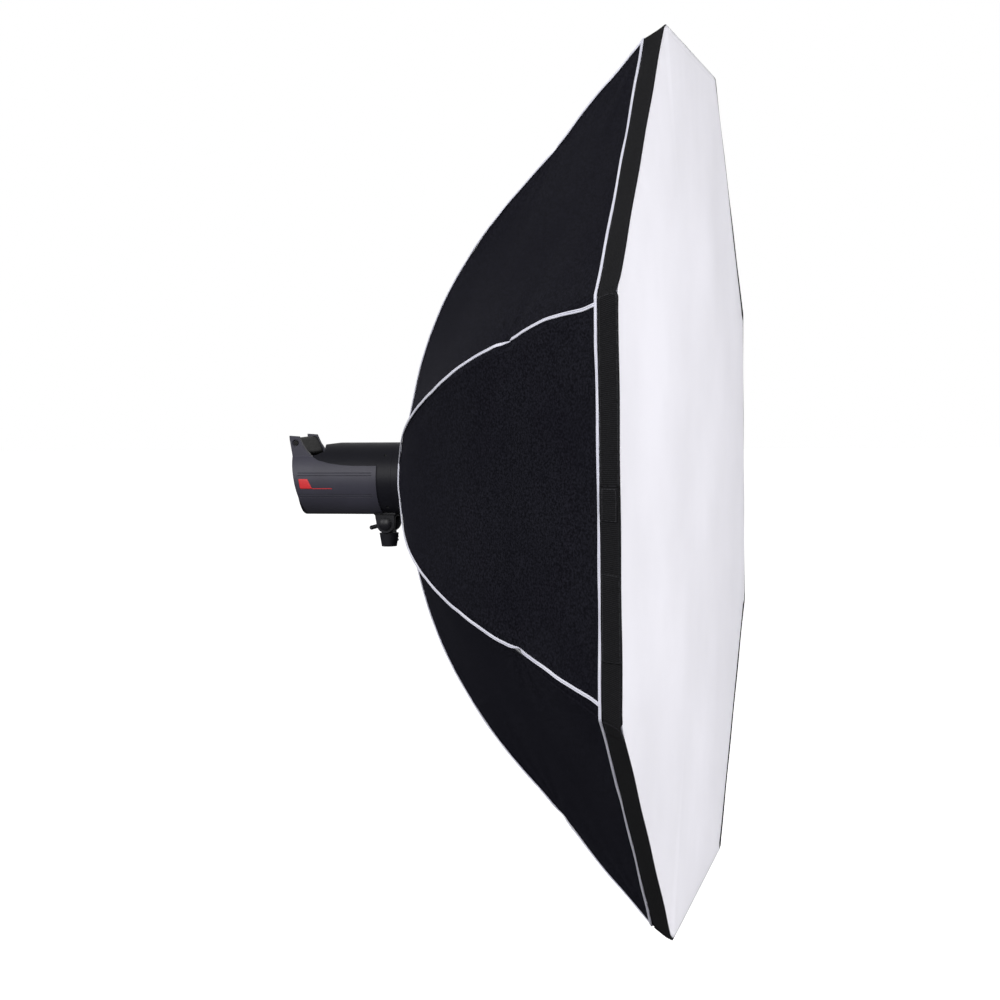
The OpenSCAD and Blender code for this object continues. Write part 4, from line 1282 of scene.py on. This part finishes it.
def build_diffuser():
    obj = build_sheet(
        "front_diffuser_cloth", diffuser_edge, lip_corner, depth=0.6135, bulge=0.0105,
        side_steps=40, side_length=LIP_SIDE, ripple=0.0007, material=DIFFUSER, skin=SKIN_FRONT)
    solidify(obj, 0.0010)
    register(obj, "front_diffuser", body="front_diffuser")


def build_baffle():
    obj = build_sheet(
        "inner_baffle_cloth", baffle_edge, baffle_corner, depth=SHEET_D, bulge=-0.004,
        side_steps=28, side_length=0.5, ripple=0.0010, material=BAFFLE, skin=SKIN_BAFFLE)
    solidify(obj, 0.0008)
    register(obj, "inner_baffle")


def build_straps():
    """Eight elastic straps from the baffle's corners to the seams."""
    points, faces, uvs, rods = [], [], [], []
    steps, columns, inset = 26, 5, 0.022
    for k in RODS:
        angle = spoke(k)
        outwards, sideways = polar(angle, 1, 0), np.array([-sin(angle), cos(angle), 0])
        reach = 0.021 if k in (4, 5) else 0.035
        faces += shifted(grid_faces(steps, columns), len(points))
        for i in range(steps):
            f = i / (steps - 1)
            radius = BAFFLE_R - inset + f * (reach + inset)
            width = 0.0155 - 0.003 * sin(pi * f)
            depth = BAFFLE_D + 0.0008 + 0.0009 * sin(9 * f + k) * (f > 0.3)
            for j in range(columns):
                t = (j / (columns - 1) - 0.5) * width
                rise = np.array([0, 0, depth + 0.0004 * cos(j * 1.6)])
                points.append(outwards * radius + sideways * t + rise)
                uvs.append((t + 0.01, f * 0.06))
                rods.append(k)
    points = np.array(points)
    obj = new_object("baffle_elastics", row(points), faces, [ELASTIC], uvs)
    follow_one_rod(obj, points, rods)
    solidify(obj, 0.0014)
    register(obj, "baffle_straps")


ROD_TIP = np.array([RIM_R, RIM_D]) + inward(RIM_LEAN) * 0.0095 - along(RIM_LEAN) * 0.006


def build_pockets():
    """Sewn sleeves that close over the rod tips."""
    points, faces, uvs, rods = [], [], [], []
    n, m = 22, 20
    length, behind_tip, radius = 0.0355, 0.024, 0.00655
    closing = 0.82  # share of the length where the sleeve starts to close
    for k in RODS:
        angle = spoke(k)
        faces += shifted(grid_faces(n, m, False, True), len(points))
        for i in range(n):
            f = i / (n - 1)
            d = -behind_tip + length * f
            for j in range(m):
                a = 2 * pi * j / m
                r = radius + 0.0002 * sin(5 * a + k) + 0.0009 * exp(-(f / 0.06) ** 2)
                if f > closing:
                    r *= sqrt(max(0.02, 1 - ((f - closing) / 0.18) ** 2))
                x = r * cos(a) * (1 + 0.22 * abs(cos(a)) * smooth(f, 0.75, 1.0))
                p = ROD_TIP + along(RIM_LEAN) * d - inward(RIM_LEAN) * (r * sin(a))
                points.append((p[0] * cos(angle) - x * sin(angle),
                               p[0] * sin(angle) + x * cos(angle), p[1]))
                uvs.append((a * 0.0065, d))
                rods.append(k)
    points = np.array(points)
    obj = new_object("rod_pocket_sleeves", row(points), faces, [POCKET], uvs)
    follow_one_rod(obj, points, rods)
    solidify(obj, 0.0008, offset=1.0)
    register(obj, "rod_pockets")


# --------------------------------------------------------------------------
# flash head: red accent on its -X side, outlines as (depth, up)
# --------------------------------------------------------------------------
ACCENT_TAG = ((-0.2268, -0.0182), (-0.1995, -0.0182), (-0.2095, 0.0031), (-0.2300, 0.0031))
ACCENT_LINE = ((-0.1996, -0.0182), (-0.1550, -0.0182), (-0.1550, -0.0168), (-0.2002, -0.0168))


def side_inlay(name, outline, material):
    """A thin inlay laid on the head's round side."""
    outline = np.array(outline, float)
    rows, columns = 10, 8
    radius = SHELL_R + 0.00035
    low, high = outline[:, 1].min(), outline[:, 1].max()
    points, uvs = [], []
    for i in range(rows):
        y = min(max(low + (high - low) * i / (rows - 1), low + 1e-6), high - 1e-6)
        crossings = [a[0] + (b[0] - a[0]) * (y - a[1]) / (b[1] - a[1])
                     for a, b in zip(outline, np.roll(outline, -1, 0))
                     if (a[1] - y) * (b[1] - y) <= 0 and abs(a[1] - b[1]) > 1e-9]
        first, last = min(crossings), max(crossings)
        for j in range(columns):
            depth = first + (last - first) * j / (columns - 1)
            points.append((-sqrt(max(radius * radius - y * y, 1e-6)), y, depth))
            uvs.append((depth, y))
    obj = new_object(name, row(points), grid_faces(rows, columns), [material], uvs)
    solidify(obj, 0.0005)
    register(obj, body="head")


panel_grids = build_shell()
build_seam_piping(panel_grids)
build_rim_piping()
build_rear_hem()
build_rear_piping()
build_band()
build_laps("lip_band_laps", LAPS, thickness=0.0013)
build_laps("lip_band_patch", SMALL_PATCH, thickness=0.0011)
build_diffuser()
build_baffle()
build_straps()
build_pockets()
accent = accent_material()
side_inlay("accent_tag", ACCENT_TAG, accent)
side_inlay("accent_line", ACCENT_LINE, accent)

# --------------------------------------------------------------------------
# camera, light, floor
# --------------------------------------------------------------------------
scene = bpy.context.scene


def build_camera():
    """Camera on the -X side, a little to the front, looking slightly down."""
    yaw, pitch, roll = rad(13.908), rad(-4.049), rad(-0.84)
    eye = Vector((-3.9465, -1.1734, 0.2412)) + Vector(ORIGIN)
    look = Vector((cos(pitch) * cos(yaw), cos(pitch) * sin(yaw), sin(pitch)))
    level = look.cross(Vector((0, 0, 1))).normalized()
    upright = level.cross(look)
    right = cos(roll) * level + sin(roll) * upright
    up = -sin(roll) * level + cos(roll) * upright
    camera = bpy.data.objects.new("camera", bpy.data.cameras.new("camera"))
    scene.collection.objects.link(camera)
    rows = [(right[i], up[i], -look[i], eye[i]) for i in range(3)]
    camera.matrix_world = Matrix((*rows, (0, 0, 0, 1)))
    camera.data.sensor_width = 36
    camera.data.lens = 68.5872
    camera.data.clip_end = 200
    scene.camera = camera


def build_world():
    """Pure white to the camera; as a light it is brightest round the sides."""
    world = bpy.data.worlds.new("studio")
    scene.world = world
    world.use_nodes = True
    g = Graph(world.node_tree)
    height = g.sep(g.nodes.new("ShaderNodeTexCoord").outputs["Generated"])[2]
    rise = g.ramp(height, (-0.40, 0.15), to=(0.27, 0.68))
    fall = g.ramp(height, (0.25, 0.90), to=(1.0, 0.42))
    strength = g.nodes.new("ShaderNodeMix")
    strength.data_type = "FLOAT"
    seen = g.nodes.new("ShaderNodeLightPath").outputs["Is Camera Ray"]
    for i, value in ((0, seen), (2, g.num("MULTIPLY", rise, fall)), (3, 1.0)):
        g.put(strength.inputs[i], value)
    background = g.nodes["Background"]
    g.links.new(strength.outputs[0], background.inputs["Strength"])
    background.inputs["Color"].default_value = (1, 1, 1, 1)


def area_light(name, at, to, size, power):
    """Square light; at and to are measured from ORIGIN along the row frame's axes."""
    data = bpy.data.lights.new(name, "AREA")
    data.shape = "SQUARE"
    data.size = size
    data.energy = power
    light = bpy.data.objects.new(name, data)
    light.location = Vector(at) + Vector(ORIGIN)
    light.rotation_euler = (Vector(to) - Vector(at)).to_track_quat("-Z", "Y").to_euler()
    scene.collection.objects.link(light)


def build_floor():
    """Seamless paper: white to the camera, darker to other rays."""
    m = Mat("floor_paper")
    seen = m.nodes.new("ShaderNodeLightPath").outputs["Is Camera Ray"]
    paper = m.mix(m.noise(m.coords(), scale=1.5), srgb(240, 240, 242), srgb(246, 246, 247))
    m.set(Base_Color=m.mix(seen, srgb(98, 98, 100), paper), Roughness=0.95,
          Specular_IOR_Level=0.05, Emission_Color=(1, 1, 1, 1),
          Emission_Strength=m.mul(seen, 0.72))
    half, z = 30, -1.32 + float(ORIGIN[2])
    corners = [(-half, -half, z), (half, -half, z), (half, half, z), (-half, half, z)]
    new_object("floor", corners, [(0, 1, 2, 3)], [m.material], flat=True)


build_camera()
build_world()
area_light("key", at=(-4.6, -0.6, 1.9), to=(0, 0, 0), size=2.2, power=130)
area_light("rear_fill", at=(-3.4, 3.2, 1.8), to=(0, 0.1, 0), size=2.6, power=90)
area_light("front", at=(-0.6, -4.3, 0.0), to=(0, -0.5, 0), size=2.4, power=168)
build_floor()
scene.view_settings.view_transform = "Standard"
scene.view_settings.look = "None"
